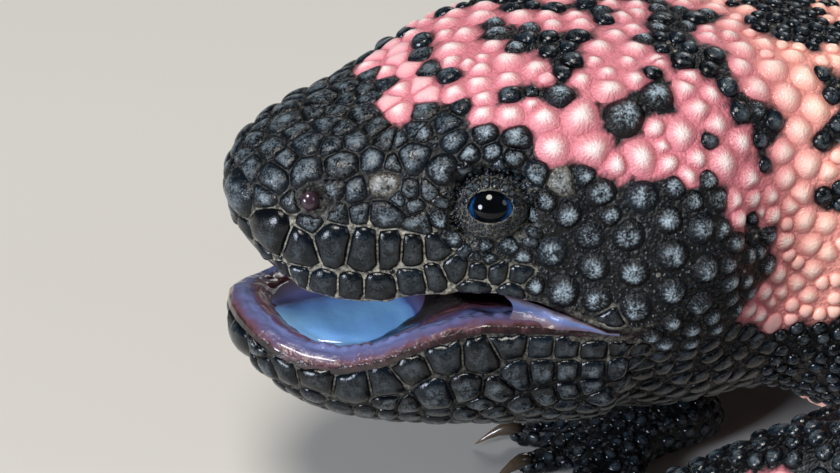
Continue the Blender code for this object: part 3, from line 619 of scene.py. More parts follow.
def inMouth(points, normals):
    x, y, z = points[:, 0] - snoutX, np.abs(points[:, 1]), points[:, 2]
    lip, rim = lipAt(x), table(jawRows, x)[1]
    inner = np.where(x > 1.2, table(jawRows, x - 0.5)[0] - 0.5, 0)
    upper = table(headHalf, x)[0]
    # The corner narrows to a slit that the web of skin fills
    slit = gapeShape["slit"] * smoothStep(gapeShape["slitFrom"], gapeShape["slitTo"], x)
    outside = y > np.where(x > gapeShape["closedFrom"], gapeShape["cornerHalf"], 0)
    gape = (z > rim + gapeShape["rimMargin"] - slit) & (z < lip - gapeShape["margin"] + slit) & outside
    level = (z >= lip - gapeShape["margin"]) & (z < lip + gapeShape["roofHeight"])
    roof = level & (normals[:, 2] < -0.35) & (y < upper - 0.8)
    floor = (z <= rim + 0.4) & (z > rim - gapeShape["floorDepth"]) & (normals[:, 2] > 0.1) & (y < inner)
    rear = (normals[:, 0] < -0.5) & (x > gapeShape["rearFrom"]) & (y < inner - 1) & (z > rim - 6) & (z < lip + 2)
    return (x < mouthEnd + 0.5) & (x > -1) & (gape | roof | floor | rear)


def byRim(points):
    # The strips along both lips that only the scales placed one by one reach into
    x, z = points[:, 0] - snoutX, points[:, 2]
    lip, rim = lipAt(x), table(jawRows, x)[1] - table(rimDrop, x)[0]
    return (x < mouthEnd) & (z > rim - 1.3) & (z < np.minimum(lip + 1.2, rim + 12))


def nearEye(points):
    near = np.zeros(len(points), bool)
    for side in (-1, 1):
        centre, out, ahead, high = eyeFrame(side)
        away = points - centre
        wide, tall = eyeShape["opening"][0] + 0.3, eyeShape["opening"][1] + 0.25
        near |= (np.hypot(away @ ahead / wide, away @ high / tall) < 1) & (away @ out > -2)
    return near


def inPit(points):
    near = np.min([np.linalg.norm(points - spot, axis=1) for spot in nostrils], 0) < skinShape["nostril"]["wide"]
    ear = skinShape["ear"]
    reach = (ear["wide"] + 0.4, 3.0, ear["tall"] + 0.4)
    return near | (np.min([np.linalg.norm((points - spot) / reach, axis=1) for spot in ears], 0) < 1)


# Scales placed one by one on the head and nape: (column, row, radius) in the photo's pixels, and for long
# ones (column, row, half width, half height, turn). The far side gets them mirrored, and the rest of the
# animal is filled by rows and by even spacing.
placedScales = {
    "plate": (
        (235, 192, 26), (250, 168, 12), (253, 139, 13), (273, 177, 15), (273, 147, 13), (284, 122, 18),
        (295, 91, 14), (306, 171, 15), (307, 143, 15), (325, 99, 17), (327, 124, 12), (341, 163, 15), (354, 140, 13),
        (365, 114, 14), (365, 90, 11), (370, 75, 12), (341, 78, 13), (373, 159, 11), (387, 139, 12), (418, 131, 11),
        (355, 192, 9, 14, 0), (386, 214, 21, 13, 0), (410, 191, 9), (414, 206, 8), (292, 203, 9), (429, 191, 8),
        (398, 199, 7), (400, 140, 8), (393, 163, 8), (412, 155, 15)),
    "horn": (
        (386, 185, 13), (561, 183, 14)),
    "labial": (
        (271, 232, 15, 27, 8), (299, 248, 15, 26, 3), (332, 243, 16, 28, 0), (364, 250, 15, 22, -6),
        (389, 250, 12, 21, -20), (413, 251, 11, 18, -20), (438, 250, 15, 11, 20), (323, 281, 14, 12, 0),
        (351, 284, 13, 12, 0), (380, 285, 16, 12, 0), (411, 281, 14, 13, 0), (434, 276, 9, 13, 0),
        (456, 267, 11, 15, 0), (478, 271, 9, 12, 0), (498, 272, 10, 12, 0), (520, 275, 11, 12, 0),
        (316, 377, 19, 12, 0), (352, 386, 18, 15, 5), (383, 384, 14, 17, 0), (412, 368, 15, 15, 0),
        (445, 357, 17, 19, 10), (480, 356, 17, 19, -10), (508, 344, 17, 14, -20), (541, 346, 12), (567, 347, 12),
        (594, 348, 13), (622, 345, 12), (240, 332, 12, 22, 0), (286, 372, 13)),
    "chin": (
        (312, 396, 10), (407, 405, 11), (435, 396, 15, 16, 0), (466, 389, 14, 17, 0), (497, 390, 13, 14, 0),
        (517, 376, 12, 14, 0), (543, 372, 13), (567, 371, 12), (592, 371, 12), (620, 369, 12), (340, 408, 12),
        (366, 412, 12), (386, 414, 11), (437, 419, 13), (466, 414, 13), (493, 412, 13), (522, 405, 13),
        (547, 396, 13), (567, 391, 12), (591, 385, 11)),
    "dome": (
        (601, 193, 16), (643, 197, 17), (676, 187, 14), (719, 200, 13), (754, 217, 9), (568, 215, 14),
        (590, 236, 15), (628, 235, 17), (669, 220, 15), (703, 228, 17), (736, 243, 15), (535, 216, 11),
        (509, 244, 12), (486, 245, 11), (551, 252, 16), (594, 267, 16), (634, 272, 16), (673, 255, 17),
        (707, 269, 16), (731, 283, 13), (760, 252, 10), (563, 291, 18), (597, 299, 16), (635, 308, 17),
        (673, 292, 15), (701, 304, 15), (672, 323, 12), (693, 329, 12), (441, 219, 11), (455, 238, 10),
        (523, 255, 11), (490, 258, 9), (535, 286, 11), (625, 116, 24), (656, 95, 19), (559, 96, 17), (497, 34, 15)),
    "brow": (
        (455, 141, 13), (486, 134, 13), (516, 138, 15), (470, 154, 11), (493, 151, 11), (513, 157, 11),
        (444, 172, 15), (536, 175, 12), (421, 133, 11)),
    "bead": (
        (527, 38, 12), (549, 37, 11), (578, 37, 13), (568, 47, 9), (549, 52, 10), (573, 61, 12), (562, 73, 11),
        (449, 76, 13), (510, 95, 12), (532, 92, 8), (461, 107, 11), (660, 20, 14), (587, 4, 12), (604, 20, 12),
        (653, 73, 10), (484, 3, 9), (710, 141, 10), (664, 18, 13), (695, 19, 14), (660, 37, 9), (677, 38, 10),
        (690, 47, 9), (662, 49, 8), (683, 61, 14), (715, 55, 12), (709, 69, 11), (728, 87, 12), (741, 112, 12),
        (774, 120, 12), (760, 28, 10), (774, 18, 11), (802, 32, 10), (816, 28, 9), (784, 37, 9), (822, 73, 10),
        (831, 96, 10), (838, 124, 10), (823, 141, 11), (824, 196, 11), (760, 140, 9), (765, 165, 8)),
    "rose": (
        (481, 17, 14), (446, 23, 12), (520, 17, 15), (547, 16, 12), (575, 17, 12), (464, 34, 12), (451, 50, 14),
        (468, 64, 10), (482, 58, 8), (507, 61, 16), (536, 69, 13), (478, 84, 13), (508, 79, 11), (455, 93, 12),
        (483, 98, 10), (483, 114, 12), (510, 115, 14), (544, 117, 16), (580, 117, 19), (553, 147, 15),
        (593, 150, 18), (532, 104, 8), (610, 90, 16), (581, 80, 10), (607, 73, 9), (636, 80, 11), (599, 47, 13),
        (594, 61, 8), (636, 49, 14), (628, 61, 8), (657, 60, 11), (616, 35, 11), (622, 17, 12), (610, 4, 11),
        (637, 6, 12), (641, 157, 18), (680, 135, 16), (722, 162, 17), (688, 176, 12), (750, 179, 12), (771, 197, 10),
        (735, 201, 11), (741, 142, 12), (716, 125, 12), (698, 109, 13), (685, 89, 12), (690, 76, 10), (711, 94, 10),
        (659, 62, 8), (760, 213, 8), (400, 90, 12), (399, 111, 13), (662, 146, 9)),
    "salmon": (
        (683, 4, 11), (715, 8, 13), (747, 10, 12), (732, 26, 15), (709, 37, 12), (742, 49, 15), (764, 45, 13),
        (741, 66, 12), (773, 68, 16), (793, 55, 12), (805, 77, 15), (757, 89, 14), (787, 97, 15), (816, 108, 15),
        (799, 130, 14), (784, 152, 12), (808, 165, 15), (829, 171, 10), (787, 178, 12), (801, 194, 13),
        (804, 220, 13), (826, 224, 11), (812, 245, 12), (828, 252, 11), (812, 270, 12), (791, 206, 11),
        (771, 302, 8), (781, 292, 9), (808, 296, 10), (797, 283, 10), (820, 7, 11), (836, 60, 10), (835, 10, 10)),
}

# Each kind of scale: how cornered its outline is, its height as a share of its radius, how flat its top and how
# steep its side are, the gap to its neighbours in mm, how far it may spread, and its ridges and pale top (powder and
# painted sheen on dark scales)
scaleTraits = ("corner", "height", "flat", "steep", "gap", "spread", "ridge", "top")
scaleKinds = {
    "plate": (12, 0.36, 2.7, 0.75, 0.06, 2.0, 0.5, 0.4),
    "horn": (10, 0.26, 3.0, 0.7, 0.12, 1.5, 0.3, 0.6),
    "labial": (14, 0.36, 2.3, 0.62, 0.1, 1.9, 0.0, 0.1),
    "chin": (10, 0.4, 2.7, 0.65, 0.09, 1.7, 0.0, 0.25),
    "dome": (7, 0.5, 2.2, 1.0, 0.08, 1.12, 1.0, 1.0),
    "brow": (8, 0.52, 2.4, 0.85, 0.06, 1.3, 0.6, 0.75),
    "bead": (7, 0.6, 2.3, 0.6, 0.06, 1.12, 0.1, 0.22),
    "rose": (8, 0.46, 2.0, 1.4, 0.0, 1.35, 0.7, 1.0),
    "salmon": (8, 0.46, 2.0, 1.3, 0.0, 1.3, 0.12, 0.8),
    "lid": (10, 0.34, 2.6, 0.7, 0.09, 1.2, 0.0, 0.2),
    "throat": (9, 0.26, 3.0, 0.6, 0.08, 1.3, 0.0, 0.2),
    "belly": (9, 0.14, 4.0, 0.6, 0.1, 1.4, 0.0, 0.3),
    "digit": (8, 0.36, 2.6, 0.6, 0.05, 1.2, 0.0, 0.15),
}
kindNames = list(scaleKinds)
pinkKinds = ("rose", "salmon")


class ScaleList:
    cell = 6.0

    def __init__(self):
        self.place, self.normal, self.radius, self.kind, self.node = [], [], [], [], []
        self.axis, self.halves, self.boxes = [], [], {}

    def add(self, place, normal, radius, kind, node, axis=(1.0, 0.0, 0.0), halves=None):
        box = tuple(int(c // self.cell) for c in place)
        self.boxes.setdefault(box, []).append((tuple(place), radius))
        self.place.append(np.array(place))
        self.normal.append(np.array(normal))
        self.radius.append(radius)
        self.kind.append(kindNames.index(kind))
        self.node.append(node)
        self.axis.append(axis)
        self.halves.append(halves or (radius, radius))

    def free(self, place, radius, closeness):
        px, py, pz = (float(c) for c in place)
        i, j, k = (int(c // self.cell) for c in (px, py, pz))
        for a in (i - 1, i, i + 1):
            for b in (j - 1, j, j + 1):
                for c in (k - 1, k, k + 1):
                    for (x, y, z), wide in self.boxes.get((a, b, c), ()):
                        limit = closeness * (wide + radius)
                        if (x - px) ** 2 + (y - py) ** 2 + (z - pz) ** 2 < limit * limit:
                            return False
        return True


def planePoint(column, row, place, normal):
    origin, way = rayThrough(column, row)
    origin, way = np.array(origin), np.array(way)
    return origin + way * ((place - origin) @ normal) / (way @ normal)


def placeByPhoto(scales):
    for kind, rows in placedScales.items():
        for row in rows:
            met = skinTree.ray_cast(*rayThrough(*row[:2]))[0]
            if met is None:
                continue
            place, normal, node = (found[0] for found in settle([met]))
            if len(row) == 3:
                scales.add(place, normal, row[2] / photo["pixelsPerMm"], kind, node)
                continue
            turn = math.radians(row[4])
            sides = ((row[2] * math.cos(turn), row[2] * math.sin(turn)),
                     (-row[3] * math.sin(turn), row[3] * math.cos(turn)))
            ends = [planePoint(row[0] + a, row[1] - b, place, normal) - place for a, b in sides]
            halves = [min(max(np.linalg.norm(end), 0.8), 4.6) for end in ends]
            size = math.sqrt(halves[0] * halves[1])
            scales.add(place, normal, size, kind, node, tuple(unit(ends[0])), tuple(halves))
    for side in (-1, 1):
        centre, out, ahead, high = eyeFrame(side)
        for reach, size, count in ((1.0, 0.74, 8), (1.36, 0.52, 10)):
            for turn in np.radians(np.linspace(18, 162, count)):
                a, b = 3.4 * reach * math.cos(turn), 2.7 * reach * math.sin(turn)
                place, normal, node = (found[0] for found in settle([centre + ahead * a + high * b + out * 2.8]))
                scales.add(place, normal, size, "lid", node)
    placed = len(scales.place)
    for k in range(placed):
        place, kind = scales.place[k], kindNames[scales.kind[k]]
        if kind == "lid" or abs(place[1]) < 1.0 or place[0] > snoutX + 100:
            continue
        far, normal, node = (found[0] for found in settle([place * (1, -1, 1)]))
        if scales.free(far, scales.radius[k], 0.72):
            ax, ay, az = scales.axis[k]
            scales.add(far, normal, scales.radius[k], kind, node, (ax, -ay, az), scales.halves[k])
    return placed


def spread(scales, candidates, normals, nodes, radii, kinds, closeness):
    for k in dice.permutation(len(candidates)):
        if scales.free(candidates[k], radii[k], closeness):
            scales.add(candidates[k], normals[k], radii[k], kinds[k], nodes[k])


def faceSpots(keep, jitter, copies=1):
    # Spots in each face of the skin that keep picks, moved a little
    middles = skinPoints[skinFaces].mean(1)
    normals = unit(skinNormals[skinFaces].sum(1))
    chosen = keep(middles, normals, skinNodes[skinFaces[:, 0]])
    middles = np.repeat(middles[chosen], copies, 0)
    return settle(middles + dice.normal(0, jitter, middles.shape))


# Kinds and radii in mm of the scales that fill the head
fillShape = {
    "lidEnd": 5.3, "ringEnd": 6.4, "beadsFrom": 66.0, "throatTop": 24.0, "labialBand": 3.4, "snoutEnd": 26.0,
    "upperLid": 0.36, "lowerLid": 0.27, "ring": 0.8, "bead": 1.0, "throat": 1.35, "chin": 1.5, "labial": 1.4,
    "plate": 1.4, "dome": 1.5,
}


def headFill(spots, normals, nodes):
    x, z = spots[:, 0] - snoutX, spots[:, 2]
    lip = lipAt(x)
    eyes = [eyeFrame(side) for side in (-1, 1)]
    away = np.array([spots - eye[0] for eye in eyes])
    nearest = np.linalg.norm(away, axis=2).argmin(0)
    away = away[nearest, np.arange(len(spots))]
    high = np.array([eye[3] for eye in eyes])[nearest]
    fromEye, over = np.linalg.norm(away, axis=1), (away * high).sum(1)
    found = []
    for k in range(len(spots)):
        if fromEye[k] < fillShape["lidEnd"]:
            found.append(("lid", "upperLid" if over[k] > 0 else "lowerLid"))
        elif fromEye[k] < fillShape["ringEnd"]:
            found.append(("chin", "ring"))
        elif x[k] > fillShape["beadsFrom"]:
            found.append(("bead", "bead"))
        elif (z[k] < fillShape["throatTop"] or normals[k, 2] < -0.5
              or (nodes[k] == headIndex and z[k] < 31 and x[k] > 44)):
            found.append(("throat", "throat"))
        elif nodes[k] == jawIndex:
            found.append(("chin", "chin"))
        elif x[k] < mouthEnd and z[k] < lip[k] + fillShape["labialBand"]:
            found.append(("labial", "labial"))
        elif x[k] < fillShape["snoutEnd"]:
            found.append(("plate", "plate"))
        else:
            found.append(("dome", "dome"))
    return np.array([fillShape[size] for kind, size in found]), [kind for kind, size in found]


scales = ScaleList()
placedByHand = placeByPhoto(scales)
frontNodes = [headIndex, jawIndex, neckIndex]
spots, spotNormals, spotNodes = faceSpots(
    lambda p, n, node: (p[:, 0] < snoutX + 104) & np.isin(node, frontNodes), 0.35, 2)
clear = ~inMouth(spots, spotNormals) & ~nearEye(spots) & ~inPit(spots) & ~byRim(spots)
spots, spotNormals, spotNodes = spots[clear], spotNormals[clear], spotNodes[clear]
fillRadii, fillKinds = headFill(spots, spotNormals, spotNodes)
spread(scales, spots, spotNormals, spotNodes, fillRadii, fillKinds, 0.84)
print("head scales:", placedByHand, "placed,", len(scales.place), "in all")


# The body beyond the photo: rows of beads round the centre line, then even spacing on the limbs
# Each row in mm: how far behind the snout, how far sideways, and the heights of the top and the underside
bodyLine = ((66, 0, 63.2, 14), (72, 0, 62.4, 13.4), (82, 0, 59.6, 8.4), (94, .4, 54.8, 2), (108, 1.6, 50.2, 0),
            (128, 5, 47, 0), (160, 11, 45.4, 0), (200, 16, 45.4, 0), (240, 15, 43.6, 0), (275, 8, 39.4, 0),
            (300, 0, 34, 0), (322, -9, 31.4, 0), (350, -23, 29.6, 0), (375, -39, 26.4, 0), (395, -56, 21, 0),
            (406, -68, 15, 0), (413, -78, 5, 0.8))
bodyShape = {
    "bandShare": 0.42, "bandLength": 44.0, "cloud": (11.0, 1.25), "fineCloud": (4.5, 0.75), "pinkFrom": 0.02,
    "bellyExtra": 0.25, "upperLimbPink": 0.58, "lowerLimbPink": 0.55, "handPink": 2.0, "rowStep": 0.87,
    "beadPitch": ((100, 2.6), (112, 3.5), (150, 3.9), (260, 3.9), (320, 3.7), (380, 3.1), (413, 2.2)),
    "limbPitch": {"upper": 2.8, "forearm": 2.6, "thigh": 3.2, "shin": 2.9, "hand": 1.8, "foot": 1.9},
}


def cloudAt(points, size, seed):
    return np.array([noise.noise(Vector(point) / size + Vector((seed, 0, 0))) for point in points])


def bodyColour(spots, normals, nodes):
    # True where the skin is pink: broken bands along the back and tail, a few spots on the limbs
    x = spots[:, 0] - snoutX
    value = np.sin(2 * math.pi * (x + 6) / bodyShape["bandLength"]) * bodyShape["bandShare"]
    for (size, weight), seed in ((bodyShape["cloud"], 3.0), (bodyShape["fineCloud"], 9.0)):
        value = value + weight * cloudAt(spots, size, seed)
    word = firstWord[nodes]
    level = np.select(
        [np.isin(word, ("upper", "thigh")), np.isin(word, ("forearm", "shin")), np.isin(word, ("hand", "foot"))],
        [bodyShape["upperLimbPink"], bodyShape["lowerLimbPink"], bodyShape["handPink"]], bodyShape["pinkFrom"])
    level = level + bodyShape["bellyExtra"] * (normals[:, 2] < -0.5)
    return value + dice.normal(0, 0.1, len(spots)) > level


def bodyRows(scales):
    line = np.array([(snoutX + x, y, (top + under) / 2) for x, y, top, under in bodyLine])
    steps = np.concatenate([[0], np.cumsum(np.linalg.norm(np.diff(line, axis=0), axis=1))])
    allowed = {fleshNodes.index(n) for n in fleshNodes if n.startswith(("torso", "tail"))}
    at, odd = steps[3], 0
    angles = np.linspace(-math.pi / 2, 1.5 * math.pi, 145)
    while at < steps[-1] - 1:
        centre = np.array([np.interp(at, steps, line[:, k]) for k in range(3)])
        before, after = (np.array([np.interp(at + off, steps, line[:, k]) for k in range(3)]) for off in (-2, 2))
        ahead = unit(after - before)
        side = unit(np.cross((0, 0, 1), ahead))
        high = np.cross(ahead, side)
        pitch = float(table(bodyShape["beadPitch"], centre[0] - snoutX)[0])
        hits, fine = [], []
        for angle in angles:
            way = side * math.cos(angle) + high * math.sin(angle)
            met, flat, face, gap = skinTree.ray_cast(Vector(centre), Vector(way))
            hits.append(np.array(met) if met else centre)
            fine.append(met is not None and skinNodes[skinFaces[face][0]] in allowed)
        hits = np.array(hits)
        gone = np.concatenate([[0], np.cumsum(np.linalg.norm(np.diff(hits, axis=0), axis=1))])
        count = max(6, round(gone[-1] / pitch))
        for k in range(count):
            want = (k + 0.5 * (odd % 2)) / count * gone[-1]
            i = min(int(np.searchsorted(gone, want, "right")) - 1, len(gone) - 2)
            if not (fine[i] and fine[i + 1]):
                continue
            share = (want - gone[i]) / max(gone[i + 1] - gone[i], 1e-6)
            place, normal, node = (found[0] for found in settle([hits[i] * (1 - share) + hits[i + 1] * share]))
            if scales.free(place, pitch / 2, 0.72):
                scales.add(place + dice.normal(0, 0.05, 3), normal, pitch * 0.5 * dice.uniform(0.93, 1.06),
                           "belly" if normal[2] < -0.6 else "bead", node)
        at, odd = at + pitch * bodyShape["rowStep"], odd + 1


bodyRows(scales)
spots, spotNormals, spotNodes = faceSpots(lambda p, n, node: ~np.isin(node, frontNodes), 0.3)
spotWords = firstWord[spotNodes]
fillRadii = np.array([bodyShape["limbPitch"].get(word, 0) for word in spotWords]) / 2
fillRadii = np.where(fillRadii > 0, fillRadii, table(bodyShape["beadPitch"], spots[:, 0] - snoutX)[0] / 2)
fillKinds = ["digit" if word in ("hand", "foot") else "belly" if normal[2] < -0.75 else "bead"
             for word, normal in zip(spotWords, spotNormals)]
spread(scales, spots, spotNormals, spotNodes, fillRadii, fillKinds, 0.86)
print("all scales:", len(scales.place))

places, normals, axes = np.array(scales.place), np.array(scales.normal), np.array(scales.axis)
radii, kinds = np.array(scales.radius), np.array(scales.kind)
nodes, halves = np.array(scales.node), np.array(scales.halves)
kindOf = np.array(kindNames)[kinds]
kindValue = {trait: np.array([scaleKinds[name][k] for name in kindNames]) for k, trait in enumerate(scaleTraits)}
lengthwise = axes - normals * (axes * normals).sum(1, keepdims=True)
level = np.cross(normals, np.where(np.abs(normals[:, :1]) < 0.8, (1.0, 0, 0), (0, 1.0, 0)))
firstTangent = unit(np.where(np.linalg.norm(lengthwise, axis=1, keepdims=True) > 0.2, lengthwise, level))
secondTangent = np.cross(normals, firstTangent)
outlineTurns = np.linspace(0, 2 * math.pi, 49)[:-1]


def colourScales():
    # red: pink, green: salmon rather than rose, blue: how pale a dark scale is, alpha: tan horn
    marks = np.zeros((len(places), 4))
    handTree = treeOf(places[:placedByHand])
    x = places[:, 0] - snoutX
    roam = bodyColour(places, normals, nodes)
    marks[:, 0] = roam
    for k in range(len(places)):
        if k < placedByHand:
            marks[k, 0] = kindOf[k] in pinkKinds
        elif x[k] < 104 and nodes[k] in frontNodes:
            seen = places[k] if places[k, 1] < 0 else places[k] * (1, -1, 1)
            near = handTree.find(seen)[1]
            close = np.linalg.norm(places[near] - seen) < 2.6 * radii[near] + 1.5
            marks[k, 0] = kindOf[near] in pinkKinds if close else roam[k] and kindOf[k] == "bead"
    marks[:, 1] = smoothStep(60, 74, x)
    marks[:, 2] = np.clip(dice.normal(0.35, 0.3, len(places)), 0, 1)
    marks[kindOf == "horn", 3] = 0.35
    return marks


scaleMarks = colourScales()


def ellipseReach(index, a, b):
    # How far a scale's own ellipse reaches in the tangent direction (a, b)
    return 1 / np.sqrt((a / halves[index, 0]) ** 2 + (b / halves[index, 1]) ** 2)


def cellOutlines(count=14):
    # How far each scale reaches in 48 directions before it meets its neighbours
    tree = treeOf(places)
    near = np.array([[k for p, k, gap in tree.find_n(place, count + 1)][1:] for place in places])
    own = np.arange(len(places))
    a, b = np.cos(outlineTurns), np.sin(outlineTurns)
    power = kindValue["corner"][kinds][:, None]
    limit = ellipseReach(own[:, None], a[None], b[None]) * kindValue["spread"][kinds][:, None]
    total = (1 / limit) ** power
    for k in range(count):
        other = near[:, k]
        away = places[other] - places
        far = np.linalg.norm(away, axis=1)
        p, q = (away * firstTangent).sum(1), (away * secondTangent).sum(1)
        flat = np.maximum(np.hypot(p, q), 1e-6)
        mine = ellipseReach(own, p / flat, q / flat)
        op, oq = (away * firstTangent[other]).sum(1), (away * secondTangent[other]).sum(1)
        oflat = np.maximum(np.hypot(op, oq), 1e-6)
        theirs = ellipseReach(other, op / oflat, oq / oflat)
        bisector = far * mine / (mine + theirs)
        toward = np.outer(p / flat, a) + np.outer(q / flat, b)
        counts = (normals[other] * normals).sum(1) > 0.1
        total += np.where(counts[:, None], (np.maximum(toward, 0) / bisector[:, None]) ** power, 0)
    reach = total ** (-1 / power) - kindValue["gap"][kinds][:, None] * np.minimum(1, radii / 1.6)[:, None]
    return np.maximum(reach, radii[:, None] * 0.25)


outlines = cellOutlines()
print("outlines ready")


# Granules: beads under a millimetre across that fill the skin between the scales of the head and neck
granuleShape = {"radius": 0.33, "apart": 0.6, "height": 0.22, "upTo": 84.0, "above": 22.0}


def granuleSpots():
    def inReach(middles, faceNormals, faceNodes):
        onFront = np.isin(faceNodes, frontNodes) & (middles[:, 2] > granuleShape["above"])
        return onFront & (middles[:, 0] < snoutX + granuleShape["upTo"])

    found, used, tree = [], ScaleList(), treeOf(places)
    fresh, flats, owners = faceSpots(inReach, 0.45, 3)
    clear = ~inMouth(fresh, flats) & ~nearEye(fresh) & ~inPit(fresh) & ~byRim(fresh)
    for spot, flat, owner in zip(fresh[clear], flats[clear], owners[clear]):
        taken = False
        pink = 0
        for place, k, gap in tree.find_n(spot, 4):
            away = spot - places[k]
            p, q = away @ firstTangent[k], away @ secondTangent[k]
            step = int(round(math.atan2(q, p) / (2 * math.pi) * 48)) % 48
            if math.hypot(p, q) < outlines[k, step] + 0.2:
                taken = True
                break
            pink = pink or scaleMarks[k, 0]
        if not taken and not pink and used.free(spot, granuleShape["apart"] / 2, 1.0):
            used.add(spot, flat, granuleShape["apart"] / 2, "bead", owner)
            found.append((spot, flat))
    return found


def unwrap(points):
    # OFBake: each root's place on an unwrap of the piece, its length along by its angle round
    low, high = points.min(0), points.max(0)
    middle = (low + high) / 2
    angle = np.arctan2(points[:, 1] - middle[1], points[:, 2] - middle[2])
    u = (points[:, 0] - low[0]) / max(high[0] - low[0], 1)
    return np.clip(0.02 + 0.96 * np.column_stack([u, (angle + math.pi) / (2 * math.pi)]), 0.0, 0.996)


bakePatch = 0.004  # each scale's own square of the unwrap


def bakeCells(points):
    taken, last = set(), 248
    found = np.empty((len(points), 2))
    for k, (u, v) in enumerate(unwrap(points)):
        i, j = int(u / bakePatch), int(v / bakePatch)
        step = 0
        while (i, j) in taken:
            step += 1
            turn, far = step * 2.4, 0.8 * math.sqrt(step)
            i = min(max(int(u / bakePatch + far * math.cos(turn)), 0), last)
            j = min(max(int(v / bakePatch + far * math.sin(turn)), 0), last)
        taken.add((i, j))
        found[k] = (i * bakePatch, j * bakePatch)
    return found


def setUV(made, name, perPoint):
    layer = made.data.uv_layers.new(name=name)
    corners = np.empty(len(made.data.loops), int)
    made.data.loops.foreach_get("vertex_index", corners)
    layer.data.foreach_set("uv", np.asarray(perPoint, np.float32)[corners].ravel())


def ringObject(name, blocks, forms, local, marks, values, roots, sides):
    # Joined mesh of scales: a top point, rings of the same number of sides and a skirt sunk in the skin
    points = np.concatenate(blocks, 1)
    points[..., 2] = np.maximum(points[..., 2], capShape["floor"])
    per, count = points.shape[1], points.shape[0]
    one = [(0, 1 + j, 1 + (j + 1) % sides) for j in range(sides)]
    for i in range(len(blocks) - 2):
        a, b = 1 + i * sides, 1 + (i + 1) * sides
        one += [(a + j, b + j, b + (j + 1) % sides, a + (j + 1) % sides) for j in range(sides)]
    faces = [tuple(k + base for k in face) for base in range(0, per * count, per) for face in one]
    made = meshObject(name, points.reshape(-1, 3), faces, scalesLook)
    setMarks(made, "marks", np.repeat(marks, per, 0))
    ridge, top = values
    form = [np.concatenate(forms, 1).ravel(), np.repeat(ridge, per), np.repeat(top, per), np.ones(per * count)]
    setMarks(made, "form", np.stack(form, 1))
    flat = np.concatenate(local, 1).reshape(-1, 2)
    setUV(made, "cell", flat)
    setUV(made, "OFBake", np.repeat(bakeCells(roots), per, 0) + 0.0018 + 0.0013 * flat)
    print(name, count, "scales,", sum(len(face) - 2 for face in one) * count, "triangles")
    mount(made, "beaded_skin")


capShape = {"probe": 1.6, "probeReach": 3.6, "lipSteps": 7, "lipShrink": 0.86, "sunk": 0.35, "floor": 0.06}


def addScales(name, chosen, sides, rings):
    chosen = np.flatnonzero(chosen)
    turns = outlineTurns[::48 // sides]
    reach = outlines[chosen][:, ::48 // sides].copy()
    root, up = places[chosen], normals[chosen]
    ways = (firstTangent[chosen][:, None] * np.cos(turns)[None, :, None]
            + secondTangent[chosen][:, None] * np.sin(turns)[None, :, None])
    drop = np.zeros(reach.shape)
    for i in range(len(chosen)):
        byLips = root[i, 0] < snoutX + mouthEnd
        for j in range(sides):
            for k in range(capShape["lipSteps"]):
                outer = root[i] + ways[i, j] * reach[i, j]
                start = Vector(outer + up[i] * capShape["probe"])
                met, flat, face, gap = skinTree.ray_cast(start, Vector(-up[i]), capShape["probeReach"])
                if not byLips or (met and not lining[skinFaces[face]].any()):
                    break
                reach[i, j] *= capShape["lipShrink"]  # ends the scale at the lip
            drop[i, j] = (np.array(met) - outer) @ up[i] if met else -0.15
    drop = np.clip(drop, -0.7 * reach, 0.5)
    value = {key: array[kinds[chosen]][:, None] for key, array in kindValue.items()}
    wide = np.minimum(reach.mean(1), radii[chosen])[:, None]
    tall = value["height"] * wide * dice.uniform(0.9, 1.1, (len(chosen), 1))
    around = np.stack([np.cos(turns), np.sin(turns)], 1)
    blocks, forms, local = [(root + up * tall)[:, None]], [np.ones((len(chosen), 1))], [np.zeros((len(chosen), 1, 2))]
    for t in rings:
        share = np.broadcast_to(np.maximum(0, 1 - t ** value["flat"]) ** value["steep"], reach.shape)
        rise = tall * share + drop * t * t
        blocks.append(root[:, None] + ways * (reach * t)[:, :, None] + up[:, None] * rise[:, :, None])
        forms.append(share)
        local.append(np.broadcast_to(around * t, reach.shape + (2,)))
    blocks.append(blocks[-1] - up[:, None] * capShape["sunk"])
    forms.append(np.zeros(reach.shape))
    local.append(local[-1])
    values = (value["ridge"][:, 0], value["top"][:, 0])
    ringObject(name, blocks, forms, local, scaleMarks[chosen], values, root, sides)


def addGranules(name, found, sides=6):
    root, up = np.array([f[0] for f in found]), np.array([f[1] for f in found])
    first = unit(np.cross(up, np.where(np.abs(up[:, :1]) < 0.8, (1.0, 0, 0), (0, 1.0, 0))))
    second = np.cross(up, first)
    turns = np.linspace(0, 2 * math.pi, sides + 1)[:-1]
    around = np.stack([np.cos(turns), np.sin(turns)], 1)
    ways = first[:, None] * around[None, :, :1] + second[:, None] * around[None, :, 1:]
    size = dice.uniform(0.75, 1.15, (len(root), 1, 1)) * granuleShape["radius"]
    tall = granuleShape["height"] * dice.uniform(0.6, 1.3, (len(root), 1))
    blocks, forms, local = [(root + up * tall)[:, None]], [np.ones((len(root), 1))], [np.zeros((len(root), 1, 2))]
    for t, rise in ((0.6, 0.75), (1.0, -0.1)):
        blocks.append(root[:, None] + ways * size * t + (up * tall * rise)[:, None])
        forms.append(np.full((len(root), sides), max(rise, 0.0)))
        local.append(np.broadcast_to(around * t, (len(root), sides, 2)))
    marks = np.zeros((len(root), 4))
    marks[:, 2] = dice.uniform(0, 1, len(root))
    marks[:, 3] = np.where(dice.uniform(0, 1, len(root)) > 0.96, 0.6, 0.0)
    plain = np.zeros(len(root))
    ringObject(name, blocks, forms, local, marks, (plain, plain), root, sides)


